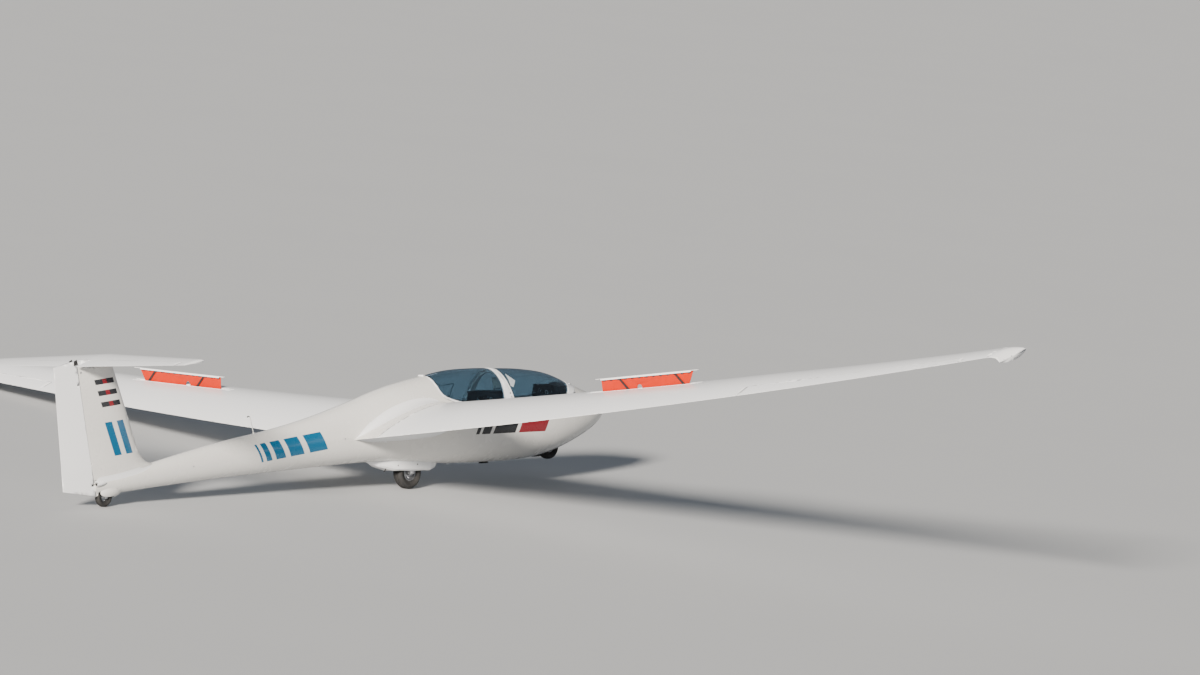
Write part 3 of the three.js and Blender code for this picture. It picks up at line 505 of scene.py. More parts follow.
def level_copy(node):
    """A copy of a CAD node's mesh, level and merged into closed surfaces."""
    piece = bpy.data.objects.new(f"{node}_copy", frame["nodes"][node].data.copy())
    bpy.context.scene.collection.objects.link(piece)
    piece.data.transform(LEVEL)
    piece.data.materials.clear()
    with editing(piece):
        bpy.ops.mesh.remove_doubles(threshold=COPY_MERGE)
    return piece


def refine(piece, grain, where=None):
    """Cuts the long edges of the marked facets until none is longer than the grain."""
    for _ in range(REFINE_ROUNDS):
        found = []

        def long(edge):
            keep = edge.calc_length() > grain and any(f.material_index for f in edge.link_faces)
            keep = keep and (where is None or where(edge))
            if keep:
                found.append(edge.index)
            return keep

        with editing(piece) as mesh:
            choose(piece, mesh.edges, "EDGE", long)
            if found:
                bpy.ops.mesh.subdivide(number_cuts=1)
                bpy.ops.mesh.select_mode(type="FACE")
                bpy.ops.mesh.select_all(action="SELECT")
                bpy.ops.mesh.quads_convert_to_tris(quad_method="SHORTEST_DIAGONAL", ngon_method="BEAUTY")
        if not found:
            break


def facet_marks(mesh):
    return read(mesh.polygons, "material_index", 1, np.int32)


def facet_corners(mesh):
    return read(mesh.polygons, "vertices", 3, np.int32)


def resurface(piece, surfaces):
    """Moves the marked facets' corners onto their exact surfaces. surfaces[i] is for mark i + 1."""
    mesh = piece.data
    points, marks, corners = read(mesh.vertices, "co") * MM, facet_marks(mesh), facet_corners(mesh)
    for index, surface in enumerate(surfaces):
        chosen = np.unique(corners[marks == index + 1])
        if len(chosen):
            points[chosen] = surface(points[chosen].copy())
    set_points(mesh, points / MM)


def nose_zone(leading_of):
    """Tells the edges near a leading edge, where an aerofoil turns sharply."""
    def near(edge):
        middle = (edge.verts[0].co + edge.verts[1].co) * (MM / 2)
        return middle.x < leading_of(np.array([middle]))[0] + NOSE_REACH
    return near


def skin_copy(node, marks_of, surfaces, grain, leading_of=None):
    """A CAD node's copy with its faceted skins made smooth, and cut finer at its nose."""
    piece = level_copy(node)
    marks = marks_of(piece.data)
    piece.data.polygons.foreach_set("material_index", marks.astype(np.int32))
    for _ in range(int(marks.max()) + 1):
        piece.data.materials.append(None)
    refine(piece, grain)
    if leading_of is not None:
        refine(piece, grain / 2, nose_zone(leading_of))
    resurface(piece, surfaces)
    return piece


def body_marks(mesh, outer, inner):
    """Marks the facets at an outer depth that face out (1), and at an inner one that face in (2)."""
    centres = read(mesh.polygons, "center") * MM
    here = body_depth(centres)
    slope = np.stack([here - body_depth(centres + step) for step in np.eye(3)], 1)
    slope /= np.linalg.norm(slope, axis=1)[:, None]
    facing = (slope * read(mesh.polygons, "normal")).sum(1)
    blunt = centres[:, 0] < BLUNT_NOSE
    slack, least = np.where(blunt, 30, 9), np.where(blunt, 0.4, 0.75)
    marks = np.zeros(len(centres), int)
    for number, depth, way in ((1, outer, 1), (2, inner, -1)):
        near = (here > depth - 1.5) & (here < depth + slack)
        marks[near & (facing * way > least)] = number
    return marks


def fuselage_marks(mesh):
    """Marks the pod's skins (1, 2), the root fairings (3) and the tail wheel's blister (4)."""
    centres, normals = read(mesh.polygons, "center") * MM, read(mesh.polygons, "normal")
    marks = body_marks(mesh, 0, POD_WALL)
    x, side = centres[:, 0], np.abs(centres[:, 1])
    free = (marks == 0) & (body_depth(centres) < 0.5)
    fore, aft = BLISTER_ENDS
    marks[free & (x > fore) & (x < aft) & (drift(onto_blister, centres) < 4)] = 4
    marks[free & (side > FAIRING_FROM) & (side < SEAM - 0.5) & (drift(onto_root_fairing, centres) < 9)
          & (np.abs(normals[:, 1]) < SPANWISE)] = 3
    return marks


def section_marks(surface, leading_of):
    """Marks the facets of a wing or tail that lie on its aerofoil surface."""
    def marks_of(mesh):
        points = read(mesh.vertices, "co") * MM
        from_nose = np.clip(points[:, 0] - leading_of(points), 0, None)
        on_skin = drift(surface, points) < 3.5 + 12 * np.exp(-from_nose / 60)
        span = 2 if surface is onto_upright_tail else 1
        no_end = np.abs(read(mesh.polygons, "normal")[:, span]) < SPANWISE
        return (on_skin[facet_corners(mesh)].all(1) & no_end).astype(int)
    return marks_of


def finish_skin(name, piece, node, body="airframe", outside="gelcoat", inside="gelcoat"):
    """The outer skins get the outside finish, and the cuts and inner walls the inside one."""
    mesh = piece.data
    walls = np.isin(facet_marks(mesh), (0, 2))
    mesh.materials.clear()
    for finish in (outside, inside):
        mesh.materials.append(finish_named(finish))
    mesh.polygons.foreach_set("material_index", walls.astype(np.int32))
    return parked(name, smooth(piece), body, node)


# Shapes that several pieces share. A turned part's profile is a chain of (radius, along) points.

def added(adder, **options):
    """A primitive, added with nothing else selected."""
    bpy.ops.object.select_all(action="DESELECT")
    adder(**options)
    return bpy.context.active_object


def apply_modifier(piece, kind, **values):
    alone(piece)
    modifier = piece.modifiers.new(kind.title(), kind)
    for key, value in values.items():
        setattr(modifier, key, value)
    bpy.ops.object.modifier_apply(modifier=modifier.name)
    return piece


def bevelled(piece, width, segments=2, degrees=35):
    return apply_modifier(piece, "BEVEL", width=width, segments=segments, limit_method="ANGLE",
                          angle_limit=math.radians(degrees))


def subdivided(piece):
    return apply_modifier(piece, "SUBSURF", levels=1, render_levels=1)


def outline_plate(outline, depth, bevel=0.0):
    """A plate: a disc's corners set on an outline of points, extruded by a vector and bevelled."""
    piece = added(bpy.ops.mesh.primitive_circle_add, vertices=len(outline), fill_type="NGON", radius=1)
    for vertex, point in zip(piece.data.vertices, outline):
        vertex.co = point
    with editing(piece):
        bpy.ops.mesh.extrude_region_move(TRANSFORM_OT_translate={"value": tuple(depth)})
        close_up()
    return bevelled(piece, bevel) if bevel else piece


def turned(profile, centre, axis, steps=32):
    """A turned part: a closed profile of (radius, along) spun about an axis through centre."""
    axis = Vector(axis).normalized()
    across = axis.orthogonal().normalized()
    centre = Vector(centre)
    piece = added(bpy.ops.mesh.primitive_circle_add, vertices=len(profile), fill_type="NOTHING", radius=1)
    for vertex, (radius, along) in zip(piece.data.vertices, profile):
        vertex.co = centre + across * radius + axis * along
    with editing(piece):
        bpy.ops.mesh.spin(steps=steps, angle=2 * math.pi, center=tuple(centre), axis=tuple(axis), dupli=False)
        close_up(PART_MERGE)
    return piece


def bar(start, end, radius, sides=16, lip=0.001):
    """A round bar between two points, its ends rounded by a bevel."""
    start, end = Vector(start), Vector(end)
    run = end - start
    piece = settled(added(bpy.ops.mesh.primitive_cylinder_add, vertices=sides, radius=radius,
                          depth=run.length, location=(start + end) / 2,
                          rotation=run.to_track_quat("Z", "Y").to_euler()))
    return bevelled(piece, lip, 2, 50) if lip else piece


def screw_head(centre, outward, radius, height):
    """A domed screw head with a slot, standing on a surface."""
    centre, outward = Vector(centre), Vector(outward).normalized()
    head = turned([(0, height), (radius * 0.6, height * 0.85), (radius, height * 0.25), (radius, -height),
                   (0, -height)], centre, outward, 16)
    with editing(head) as mesh:
        choose(head, mesh.faces, "FACE", lambda f: f.normal.dot(outward) > 0.9
               and (f.calc_center_median() - centre).length < radius * 0.75)
        bpy.ops.mesh.inset(thickness=radius * 0.18, depth=-height * 0.5)
    return head


def swept(path, radius, roundness=3, ends=True):
    """A round rod along a curve of points."""
    curve = bpy.data.curves.new("rod", "CURVE")
    curve.dimensions = "3D"
    curve.bevel_depth = radius
    curve.bevel_resolution = roundness
    curve.use_fill_caps = ends
    spline = curve.splines.new("POLY")
    spline.points.add(len(path) - 1)
    for point, place in zip(spline.points, path):
        point.co = (*place, 1)
    piece = bpy.data.objects.new("rod", curve)
    bpy.context.scene.collection.objects.link(piece)
    alone(piece)
    bpy.ops.object.convert(target="MESH")
    piece = bpy.context.active_object
    with editing(piece):
        close_up(PART_MERGE)
    return piece


def grid_sheet(place, along=24, across=12, thickness=0.0, offset=0):
    """A grid bent to place(u, v), u and v from 0 to 1, and given a thickness."""
    piece = added(bpy.ops.mesh.primitive_grid_add, x_subdivisions=along, y_subdivisions=across, size=1)
    for vertex in piece.data.vertices:
        vertex.co = place(vertex.co.x + 0.5, vertex.co.y + 0.5)
    with editing(piece):
        close_up()
    return apply_modifier(piece, "SOLIDIFY", thickness=thickness, offset=offset) if thickness else piece


def softened_copy(node, width, segments=2, degrees=35):
    """A CAD node's copy with its edges rounded."""
    piece = level_copy(node)
    with editing(piece):
        bpy.ops.mesh.dissolve_limited(angle_limit=math.radians(1))
    return smooth(bevelled(piece, width, segments, degrees), 35)


def spline_points(corners, steps):
    """Points along a smooth curve through some corners."""
    corners = [Vector(c) for c in corners]
    ends = [corners[0] * 2 - corners[1], *corners, corners[-1] * 2 - corners[-2]]
    found = []
    for a, b, c, d in zip(ends, ends[1:], ends[2:], ends[3:]):
        for i in range(steps):
            t = i / steps
            found.append(0.5 * (2 * b + (c - a) * t + (2 * a - 5 * b + 4 * c - d) * t * t
                                + (3 * b - 3 * c + d - a) * t ** 3))
    return [*found, corners[-1]]


# Finishes.

class Finish:
    """A material in the making: Blender's Principled shader with nodes in front of it."""

    def __init__(self, name, colour, roughness, metallic=0.0, **fixed):
        self.material = bpy.data.materials.new(name)
        self.material.use_nodes = True
        self.nodes = self.material.node_tree.nodes
        self.links = self.material.node_tree.links
        self.shader = self.nodes["Principled BSDF"]
        self.colour = (*colour, 1)
        fixed.update(Base_Color=self.colour, Roughness=roughness, Metallic=metallic)
        for socket, value in fixed.items():
            self.shader.inputs[socket.replace("_", " ")].default_value = value
        place = self.made("ShaderNodeTexCoord").outputs["Object"]
        self.level = self.mapped(place, Location=LEVEL.translation, Rotation=LEVEL.to_euler("XYZ"))

    def made(self, kind, links=None, values=None, **settings):
        """A node with its settings, the links that it reads and the values on its sockets."""
        node = self.nodes.new(kind)
        for key, value in settings.items():
            setattr(node, key, value)
        for socket, value in (values or {}).items():
            node.inputs[socket].default_value = value
        for socket, source in (links or {}).items():
            self.links.new(source, node.inputs[socket])
        return node

    def mapped(self, source, **values):
        return self.made("ShaderNodeMapping", {"Vector": source}, values).outputs["Vector"]

    def axis(self, name):
        return self.made("ShaderNodeSeparateXYZ", {0: self.level}).outputs[name]

    def math(self, operation, *terms):
        fixed = {i: term for i, term in enumerate(terms) if isinstance(term, (int, float))}
        linked = {i: term for i, term in enumerate(terms) if i not in fixed}
        return self.made("ShaderNodeMath", linked, fixed, operation=operation).outputs[0]

    def noise(self, scale, detail, stretch=None):
        place = self.mapped(self.level, Scale=stretch) if stretch else self.level
        return self.made("ShaderNodeTexNoise", {"Vector": place}, {
            "Scale": scale, "Detail": detail, "Roughness": 0.5}).outputs["Fac"]

    def ranged(self, value, low, high, to_low, to_high):
        return self.made("ShaderNodeMapRange", {"Value": value}, {
            "From Min": low, "From Max": high, "To Min": to_low, "To Max": to_high}).outputs["Result"]

    def inside(self, value, low, high):
        """1 where a value is between two numbers."""
        above = self.math("GREATER_THAN", value, low)
        return self.math("MULTIPLY", above, self.math("LESS_THAN", value, high))

    def paint(self, colour, mask):
        """Lays a colour over what is there, where the mask is 1."""
        mix = self.made("ShaderNodeMix", data_type="RGBA")
        before = self.shader.inputs["Base Color"]
        if before.is_linked:
            self.links.new(before.links[0].from_socket, mix.inputs["A"])
        else:
            mix.inputs["A"].default_value = self.colour
        mix.inputs["B"].default_value = (*colour, 1)
        self.links.new(mask, mix.inputs["Factor"])
        self.links.new(mix.outputs["Result"], before)

    def vary(self, colour, scale, share, detail=4, stretch=None):
        """Blotches of another colour, or of a share of this one, up to a share."""
        if isinstance(colour, float):
            colour = tuple(c * colour for c in self.colour[:3])
        self.paint(colour, self.ranged(self.noise(scale, detail, stretch), 0.35, 0.7, 0, share))

    def rub(self, scale, low, high, stretch=None):
        """Uneven gloss."""
        self.links.new(self.ranged(self.noise(scale, 4, stretch), 0.3, 0.7, low, high),
                       self.shader.inputs["Roughness"])

    def relief(self, height, distance, strength):
        """Bump from a height of 0 to 1, and its distance in metres."""
        bump = self.made("ShaderNodeBump", {"Height": height}, {"Strength": strength, "Distance": distance})
        self.links.new(bump.outputs["Normal"], self.shader.inputs["Normal"])

    def bars(self, along, across, starts, width, low, high, colour):
        """Paints slanted bars: along runs over the bars, across over their height."""
        for start in starts:
            self.paint(colour, self.math("MULTIPLY", self.inside(along, start, start + width),
                                         self.inside(across, low, high)))


class SailplaneSettings(bpy.types.PropertyGroup):
    """Colours and sizes of the sailplane's looks."""

    gelcoat_colour: bpy.props.FloatVectorProperty(
        name="Gelcoat", description="Colour of the outer skins", subtype="COLOR",
        size=3, min=0, max=1, default=(0.78, 0.765, 0.73))
    marking_colour: bpy.props.FloatVectorProperty(
        name="Markings", description="Colour of the painted bars on the boom and the fin", subtype="COLOR",
        size=3, min=0, max=1, default=(0.002, 0.115, 0.235))
    brake_colour: bpy.props.FloatVectorProperty(
        name="Airbrakes", description="Signal colour of the airbrake blades", subtype="COLOR",
        size=3, min=0, max=1, default=(0.55, 0.02, 0.0))
    # A red darkened below the paint's own colour as painted shade; the pod's red panel and the fin's red bars
    # use it.
    red_paint_with_painted_shade: bpy.props.FloatVectorProperty(
        name="Pod band", description="Colour of the slanted panels on the pod's sides", subtype="COLOR",
        size=3, min=0, max=1, default=(0.24, 0.008, 0.016))
    glass_tint: bpy.props.FloatVectorProperty(
        name="Canopy tint", description="Tint of the canopies' acrylic", subtype="COLOR",
        size=3, min=0, max=1, default=(0.33, 0.46, 0.55))
    cushion_colour: bpy.props.FloatVectorProperty(
        name="Cushions", description="Colour of the seat cushions' cloth", subtype="COLOR",
        size=3, min=0, max=1, default=(0.05, 0.09, 0.16))
    webbing_colour: bpy.props.FloatVectorProperty(
        name="Webbing", description="Colour of the harness straps", subtype="COLOR",
        size=3, min=0, max=1, default=(0.012, 0.02, 0.07))
    floor_colour: bpy.props.FloatVectorProperty(
        name="Floor", description="Colour of the floor and the backdrop", subtype="COLOR",
        size=3, min=0, max=1, default=(0.47, 0.48, 0.49))
    skin_grain: bpy.props.FloatProperty(
        name="Skin grain", description="Longest edge of the smooth skins' facets", subtype="DISTANCE",
        unit="LENGTH", min=0.02, max=0.3, default=0.05)
    cushion_swell: bpy.props.FloatProperty(
        name="Cushion swell", description="Furthest that a cushion's cloth may swell", subtype="DISTANCE",
        unit="LENGTH", min=0.002, max=0.04, default=0.014)
    webbing_width: bpy.props.FloatProperty(
        name="Webbing width", description="Width of the harness straps", subtype="DISTANCE",
        unit="LENGTH", min=0.02, max=0.08, default=0.045)


def settings():
    return bpy.context.scene.sailplane


CLEAR = {"Transmission_Weight": 1.0, "IOR": 1.46, "Specular_IOR_Level": 0.6}
FROSTED = {"Transmission_Weight": 0.35, "IOR": 1.46}
POLISHED = {"Coat_Weight": 0.35, "Coat_Roughness": 0.08, "Specular_IOR_Level": 0.5}
MOULDED = {"Coat_Weight": 0.3, "Coat_Roughness": 0.1}
MATT = {"Specular_IOR_Level": 0.3}
# Finishes: colour or the setting that holds it, roughness, metallic, other shader values;
# blotches (colour or share of the own one, scale, share, detail, stretch); gloss (scale, low,
# high, stretch); bump (scale, detail, distance, strength).
GELCOAT = ("gelcoat_colour", 0.24, 0, POLISHED, [(0.9, 1.3, 0.2), (0.82, 34, 0.07, 5, (0.25, 1, 1))],
           (6, 0.18, 0.34), (2.2, 1, 0.0015, 0.12))
KNOB = (0.32, 0, MOULDED, [(0.7, 90, 0.4)], (60, 0.25, 0.45), (300, 2, 0.0002, 0.3))
FINISHES = {
    "gelcoat": GELCOAT,
    "gelcoat_pod": GELCOAT,
    "gelcoat_fin": GELCOAT,
    "inside_paint": ((0.42, 0.43, 0.44), 0.6, 0, {}, [((0.2, 0.21, 0.22), 420, 0.6, 2),
                                                     ((0.6, 0.6, 0.6), 260, 0.35, 2)],
                     None, (300, 3, 0.0006, 0.4)),
    "seat_shell": ((0.46, 0.47, 0.48), 0.45, 0, {}, [((0.25, 0.26, 0.27), 300, 0.5, 2)],
                   (40, 0.35, 0.6), (120, 4, 0.0008, 0.4)),
    "acrylic": ("glass_tint", 0.02, 0, CLEAR, [], (14, 0.006, 0.03, (1, 1, 0.3)), None),
    "frosted_acrylic": ((0.8, 0.85, 0.88), 0.4, 0, FROSTED, [((0.6, 0.66, 0.7), 60, 0.5)],
                        None, (500, 2, 0.0003, 0.3)),
    "panel_black": ((0.018, 0.019, 0.021), 0.62, 0, {}, [((0.05, 0.05, 0.052), 700, 0.5, 2)],
                    (60, 0.5, 0.75), (900, 2, 0.0005, 0.6)),
    "rubber": ((0.017, 0.017, 0.018), 0.8, 0, {}, [((0.05, 0.045, 0.038), 26, 0.4, 6)],
               (40, 0.7, 0.92), (260, 4, 0.0008, 0.5)),
    "alloy": ((0.55, 0.56, 0.58), 0.34, 1, {}, [((0.3, 0.3, 0.31), 30, 0.5, 5)],
              (60, 0.25, 0.5), (340, 3, 0.0004, 0.35)),
    "steel": ((0.36, 0.37, 0.39), 0.36, 0.95, {}, [((0.12, 0.115, 0.11), 70, 0.5, 6)],
              (90, 0.24, 0.5), (500, 3, 0.0003, 0.3)),
    "lever_steel": ((0.035, 0.036, 0.04), 0.42, 0.6, {}, [((0.12, 0.11, 0.1), 60, 0.35, 5)],
                    (80, 0.34, 0.55), (420, 3, 0.0003, 0.3)),
    "signal_lacquer": ("brake_colour", 0.45, 0, MATT, [(0.78, 14, 0.4, 5)],
                       (22, 0.38, 0.55), (60, 3, 0.0005, 0.2)),
    "leather": ((0.022, 0.02, 0.019), 0.55, 0, {}, [((0.06, 0.055, 0.05), 60, 0.5, 5)],
                None, (420, 2, 0.001, 0.6)),
    "seal_rubber": ((0.012, 0.012, 0.013), 0.6, 0, {}, [((0.04, 0.04, 0.04), 90, 0.5)],
                    None, (500, 2, 0.0003, 0.4)),
    "white_plastic": ((0.75, 0.75, 0.73), *KNOB),
    "blue_knob": ((0.01, 0.09, 0.4), *KNOB),
    "green_knob": ((0.02, 0.25, 0.06), *KNOB),
    "yellow_knob": ((0.75, 0.5, 0.02), *KNOB),
    "red_knob": ((0.5, 0.015, 0.01), *KNOB),
    "studio_floor": ("floor_colour", 0.85, 0, {}, [(0.97, 0.4, 0.5, 3)], None, None),
}
# Cloths: colour or its setting, thread spacing, roughness, sheen.
CLOTHS = {
    "cushion_cloth": ("cushion_colour", 0.0022, 0.85, 0.3),
    "headrest_cloth": ((0.62, 0.6, 0.56), 0.0018, 0.75, 0.2),
    "webbing": ("webbing_colour", 0.0016, 0.7, 0.15),
}
BLACK_PAINT = (0.012, 0.013, 0.016)
BAR_BLACK = (0.02, 0.022, 0.026)
SEAM_GREY = (0.2, 0.2, 0.2)
# The boom's bars: where each starts, width. The pod's panels: the same, and whether it is red.
BOOM_BARS = ((4.62, 0.26), (4.96, 0.2), (5.23, 0.14), (5.43, 0.08), (5.56, 0.03))
POD_PANELS = ((1.15, 0.47, True), (1.68, 0.38, False), (2.11, 0.14, False), (2.29, 0.06, False))
FIN_STACK = (0.79, 0.91, 1.03)


def chosen_colour(colour):
    return tuple(getattr(settings(), colour)) if isinstance(colour, str) else colour


def finish_made(name):
    """A finish from its row in the table."""
    colour, roughness, metallic, fixed, blotches, gloss, bump = FINISHES[name]
    finish = Finish(name, chosen_colour(colour), roughness, metallic, **fixed)
    for blotch in blotches:
        finish.vary(*blotch)
    if gloss:
        finish.rub(*gloss)
    if bump:
        scale, detail, distance, strength = bump
        finish.relief(finish.noise(scale, detail), distance, strength)
    return finish


def paint_pod(finish):
    """Bars on the boom, panels on the pod and the wing roots' seam."""
    x, y, z = (finish.axis(i) for i in "XYZ")
    slanted, middle = finish.math("MULTIPLY_ADD", z, -0.4, x), finish.math("MULTIPLY_ADD", x, 0.022, z)
    for start, width in BOOM_BARS:
        finish.bars(slanted, middle, [start], width, 0.06, 0.26, chosen_colour("marking_colour"))
    lower, belt = finish.math("MULTIPLY_ADD", z, 0.6, x), finish.math("MULTIPLY_ADD", x, -0.0914, z)
    # The red panel takes the red darkened as painted shade.
    for start, width, red in POD_PANELS:
        finish.bars(lower, belt, [start], width, -0.372, -0.202,
                    chosen_colour("red_paint_with_painted_shade") if red else BLACK_PAINT)
    finish.paint(SEAM_GREY, finish.inside(finish.math("ABSOLUTE", y), 0.4975, 0.5005))


def paint_fin(finish):
    """A stack of bars high up and two slanted bars below."""
    x, z = finish.axis("X"), finish.axis("Z")
    slanted = finish.math("MULTIPLY_ADD", z, -0.27, x)
    finish.bars(slanted, z, [7.29, 7.46], 0.1, 0.27, 0.63, chosen_colour("marking_colour"))
    finish.bars(z, slanted, FIN_STACK, 0.055, 7.25, 7.53, BAR_BLACK)
    # The bars' middles take the red darkened as painted shade.
    finish.bars(z, slanted, FIN_STACK, 0.055, 7.36, 7.42, chosen_colour("red_paint_with_painted_shade"))


MARKINGS = {"gelcoat_pod": paint_pod, "gelcoat_fin": paint_fin}


def woven(name):
    """Cloth with a plain weave of the given thread spacing, its low spots darkened as painted shade."""
    colour, thread, roughness, sheen = CLOTHS[name]
    colour = chosen_colour(colour)
    finish = Finish(name, colour, roughness, Sheen_Weight=sheen, Sheen_Roughness=0.5)
    rate = 2 * math.pi / thread
    waves = [finish.math("SINE", finish.math("MULTIPLY", finish.axis(i), rate)) for i in "XYZ"]
    over = finish.math("MULTIPLY", waves[1], finish.math("ADD", waves[0], waves[2]))
    height = finish.ranged(over, -1.5, 1.5, 0, 1)
    # Painted shade: the weave's low spots are darkened.
    finish.paint(tuple(c * 0.55 for c in colour), finish.ranged(height, 0.35, 0, 0, 0.8))
    finish.vary(tuple(min(1, c * 1.9 + 0.01) for c in colour), 11, 0.3, 6)
    finish.relief(height, thread * 0.3, 0.7)
    return finish


def finish_named(name):
    if name not in bpy.data.materials:
        finish = woven(name) if name in CLOTHS else finish_made(name)
        if name in MARKINGS:
            MARKINGS[name](finish)
    return bpy.data.materials[name]


# The pieces, one operator for each group.

def shell_copy(node, outer, inner):
    """A copy of a node that lies between two depths below the pod's skin."""
    return skin_copy(node, lambda mesh: body_marks(mesh, outer, inner), [onto_body(outer), onto_body(inner)],
                     0.03)


def aerofoil_skin(name, node, surface, leading_of, grain, body="airframe", outside="gelcoat", nose=True):
    """A wing's or tail's smooth skin, dressed and parked."""
    piece = skin_copy(node, section_marks(surface, leading_of), [surface], grain,
                      leading_of if nose else None)
    finish_skin(name, piece, node, body, outside)


def fillet(corners, ends, widths, hollow=10):
    """A hollow blend along a corner between two skins. ends(place, width) gives its two edges."""
    rows = []
    for at, width in zip(corners, widths):
        first, last = ends(at, width)
        rows.append((first, at, last))
    count = len(rows) - 1

    def place(u, v):
        first, corner, last = rows[int(round(u * count))]
        step = int(round(v * (hollow + 2)))
        if step == hollow + 1:
            return corner * 1.5 - (first + corner * 2 + last) * 0.125
        t = step / hollow if step <= hollow else 0
        return first * (1 - t) ** 2 + corner * 2 * t * (1 - t) + last * t ** 2

    strip = grid_sheet(place, count, hollow + 2)
    with editing(strip):
        bpy.ops.mesh.remove_doubles(threshold=COPY_MERGE)
        bpy.ops.mesh.fill_holes(sides=0)
        close_up()
    return smooth(strip, 40)


def root_fillet(side, way, start, reach, stop=4.19, steps=36):
    """The blend between the pod and the wing root, above or below."""
    corners, widths = [], []
    for i in range(steps + 1):
        t = i / steps
        x = start + (stop - start) * t
        y = 0.33
        for _ in range(12):
            z = root_top(x, y, way)
            y = pod_half_width(x, z)
        corners.append(Vector((x, side * y, z)))
        widths.append(0.004 + reach * math.sin(math.pi * min(t * 1.02, 1)) ** 0.7)

    def ends(at, width):
        x, y, z = at.x, abs(at.y), at.z
        wing = Vector((x, side * (y + width), root_top(x, y + width, way)))
        wall = Vector((x, side * pod_half_width(x, z + way * width), z + way * width))
        return wing, wall

    return fillet(corners, ends, widths)


def fin_fillet(side, start=7.1, stop=7.93, reach=0.05, steps=30):
    """The blend between the boom and the fin's foot."""
    corners, widths = [], []
    for i in range(steps + 1):
        t = i / steps
        x = start + (stop - start) * t
        low, high = -0.02, skin_top(x) - 0.0005
        for _ in range(30):
            z = (low + high) / 2
            if pod_half_width(x, z) > abs(fin_point(x, z, 1).y):
                low = z
            else:
                high = z
        y = pod_half_width(x, z)
        width = min(reach, 0.003 + 0.3 * t, 0.003 + 0.6 * (1 - t))
        while pod_half_width(x, z - width) - y > 0.03:
            width *= 0.85
        corners.append(Vector((x, side * y, z)))
        widths.append(width)

    def ends(at, width):
        x, z = at.x, at.z
        return (Vector((x, side * pod_half_width(x, z - width), z - width)),
                Vector((x, side * abs(fin_point(x, z + width, 1).y), z + width)))

    return fillet(corners, ends, widths)


class SAILPLANE_OT_pod(bpy.types.Operator):
    """Makes the pod and boom's smooth skin, the canopy arch and the main wheel's canoe"""

    bl_idname = "sailplane.pod"
    bl_label = "Pod and boom"

    def execute(self, context):
        pod = skin_copy("fuselage", fuselage_marks,
                        [onto_body(0), onto_body(POD_WALL), onto_root_fairing, onto_blister],
                        settings().skin_grain * 0.7)
        finish_skin("pod_and_boom", pod, "fuselage", outside="gelcoat_pod", inside="inside_paint")
        finish_skin("arch_band", shell_copy("canopy_arch", 0, ARCH_WALL), "canopy_arch")
        for side, word in SIDES:
            for way, tier, start, reach in ((1, "upper", 2.9, 0.1), (-1, "lower", 2.72, 0.07)):
                fitted(f"root_fillet_{tier}_{word}", [root_fillet(side, way, start, reach)], "gelcoat")
        fitted("wheel_canoe", [softened_copy("main_wheel_fairing", 0.012, 4, 12)], "gelcoat",
               node="main_wheel_fairing")
        return {"FINISHED"}


class SAILPLANE_OT_wings(bpy.types.Operator):
    """Makes the wings, the turned-down tips and the ailerons"""

    bl_idname = "sailplane.wings"
    bl_label = "Wings"

    def execute(self, context):
        grain = settings().skin_grain
        for _, word in SIDES:
            aerofoil_skin(f"wing_skin_{word}", f"wing_{word}", onto_wing, wing_leading, grain)
            aerofoil_skin(f"tip_skin_{word}", f"wing_tip_{word}", onto_wing_tip, tip_leading, grain / 3)
            aileron = f"aileron_{word}"
            aerofoil_skin(f"aileron_skin_{word}", aileron, onto_wing, wing_leading, grain, aileron,
                          nose=False)
        return {"FINISHED"}


class SAILPLANE_OT_tail(bpy.types.Operator):
    """Makes the fin, the rudder, the tailplane and the elevator"""

    bl_idname = "sailplane.tail"
    bl_label = "Tail"

    def execute(self, context):
        grain = settings().skin_grain
        upright, level = (onto_upright_tail, upright_leading), (onto_tailplane, tailplane_leading)
        for node, body, shape, outside in (("fin", "airframe", upright, "gelcoat_fin"),
                                           ("rudder", "rudder", upright, "gelcoat"),
                                           ("tailplane", "airframe", level, "gelcoat"),
                                           ("elevator", "elevator", level, "gelcoat")):
            aerofoil_skin(f"{node}_skin", node, *shape, grain, body, outside)
        for side, word in SIDES:
            fitted(f"fin_fillet_{word}", [fin_fillet(side)], "gelcoat")
        return {"FINISHED"}


class SAILPLANE_OT_canopies(bpy.types.Operator):
    """Makes both canopies' frames and their tinted acrylic"""

    bl_idname = "sailplane.canopies"
    bl_label = "Canopies"

    def execute(self, context):
        for seat in ("front", "rear"):
            body = f"{seat}_canopy"
            rim, glass = f"{body}_frame", f"{body}_glass"
            finish_skin(f"{body}_rim", shell_copy(rim, 0, CANOPY_WALL), rim, body)
            fitted(f"{body}_pane", [smooth(shell_copy(glass, *PANE_DEPTHS))], "canopy_glass", "acrylic",
                   body, glass)
        return {"FINISHED"}


# Cockpit measures. A seat's line runs from its front edge down and up its back.
FRONT_SEAT = ((1.172, -0.425), (1.27, -0.468), (1.345, -0.488), (1.405, -0.462), (1.5, -0.26),
              (1.64, 0.04), (1.66, 0.11))
REAR_SEAT = ((2.03, -0.345), (2.13, -0.38), (2.235, -0.402), (2.305, -0.375), (2.42, -0.17), (2.6, 0.15),
             (2.63, 0.24))
SEATS = (("front", FRONT_SEAT), ("rear", REAR_SEAT))
FRONT_HEADREST = ((1.645, 0.2), (1.657, 0.315), (1.669, 0.43))  # its back, on two posts
SEAT_HALF = 0.235
PAN_DEPTH = 0.01
PAD_PULL = 0.012  # how far a pad's sides are drawn in
PAD_VOXEL = 0.0075
PIPING = 0.0032
CLOTH = {"quality": 5, "use_pressure": True, "uniform_pressure_force": 4.0, "tension_stiffness": 12,
         "compression_stiffness": 12, "bending_stiffness": 0.6}
CLOTH_FRAMES = 16
BUCKLE = 0.235  # its place on the seat's line
BUCKLE_PROFILE = ((0, 0.017), (0.016, 0.017), (0.021, 0.0155), (0.0225, 0.011), (0.031, 0.009),
                  (0.0345, 0.006), (0.0345, -0.003), (0.031, -0.006), (0, -0.006))
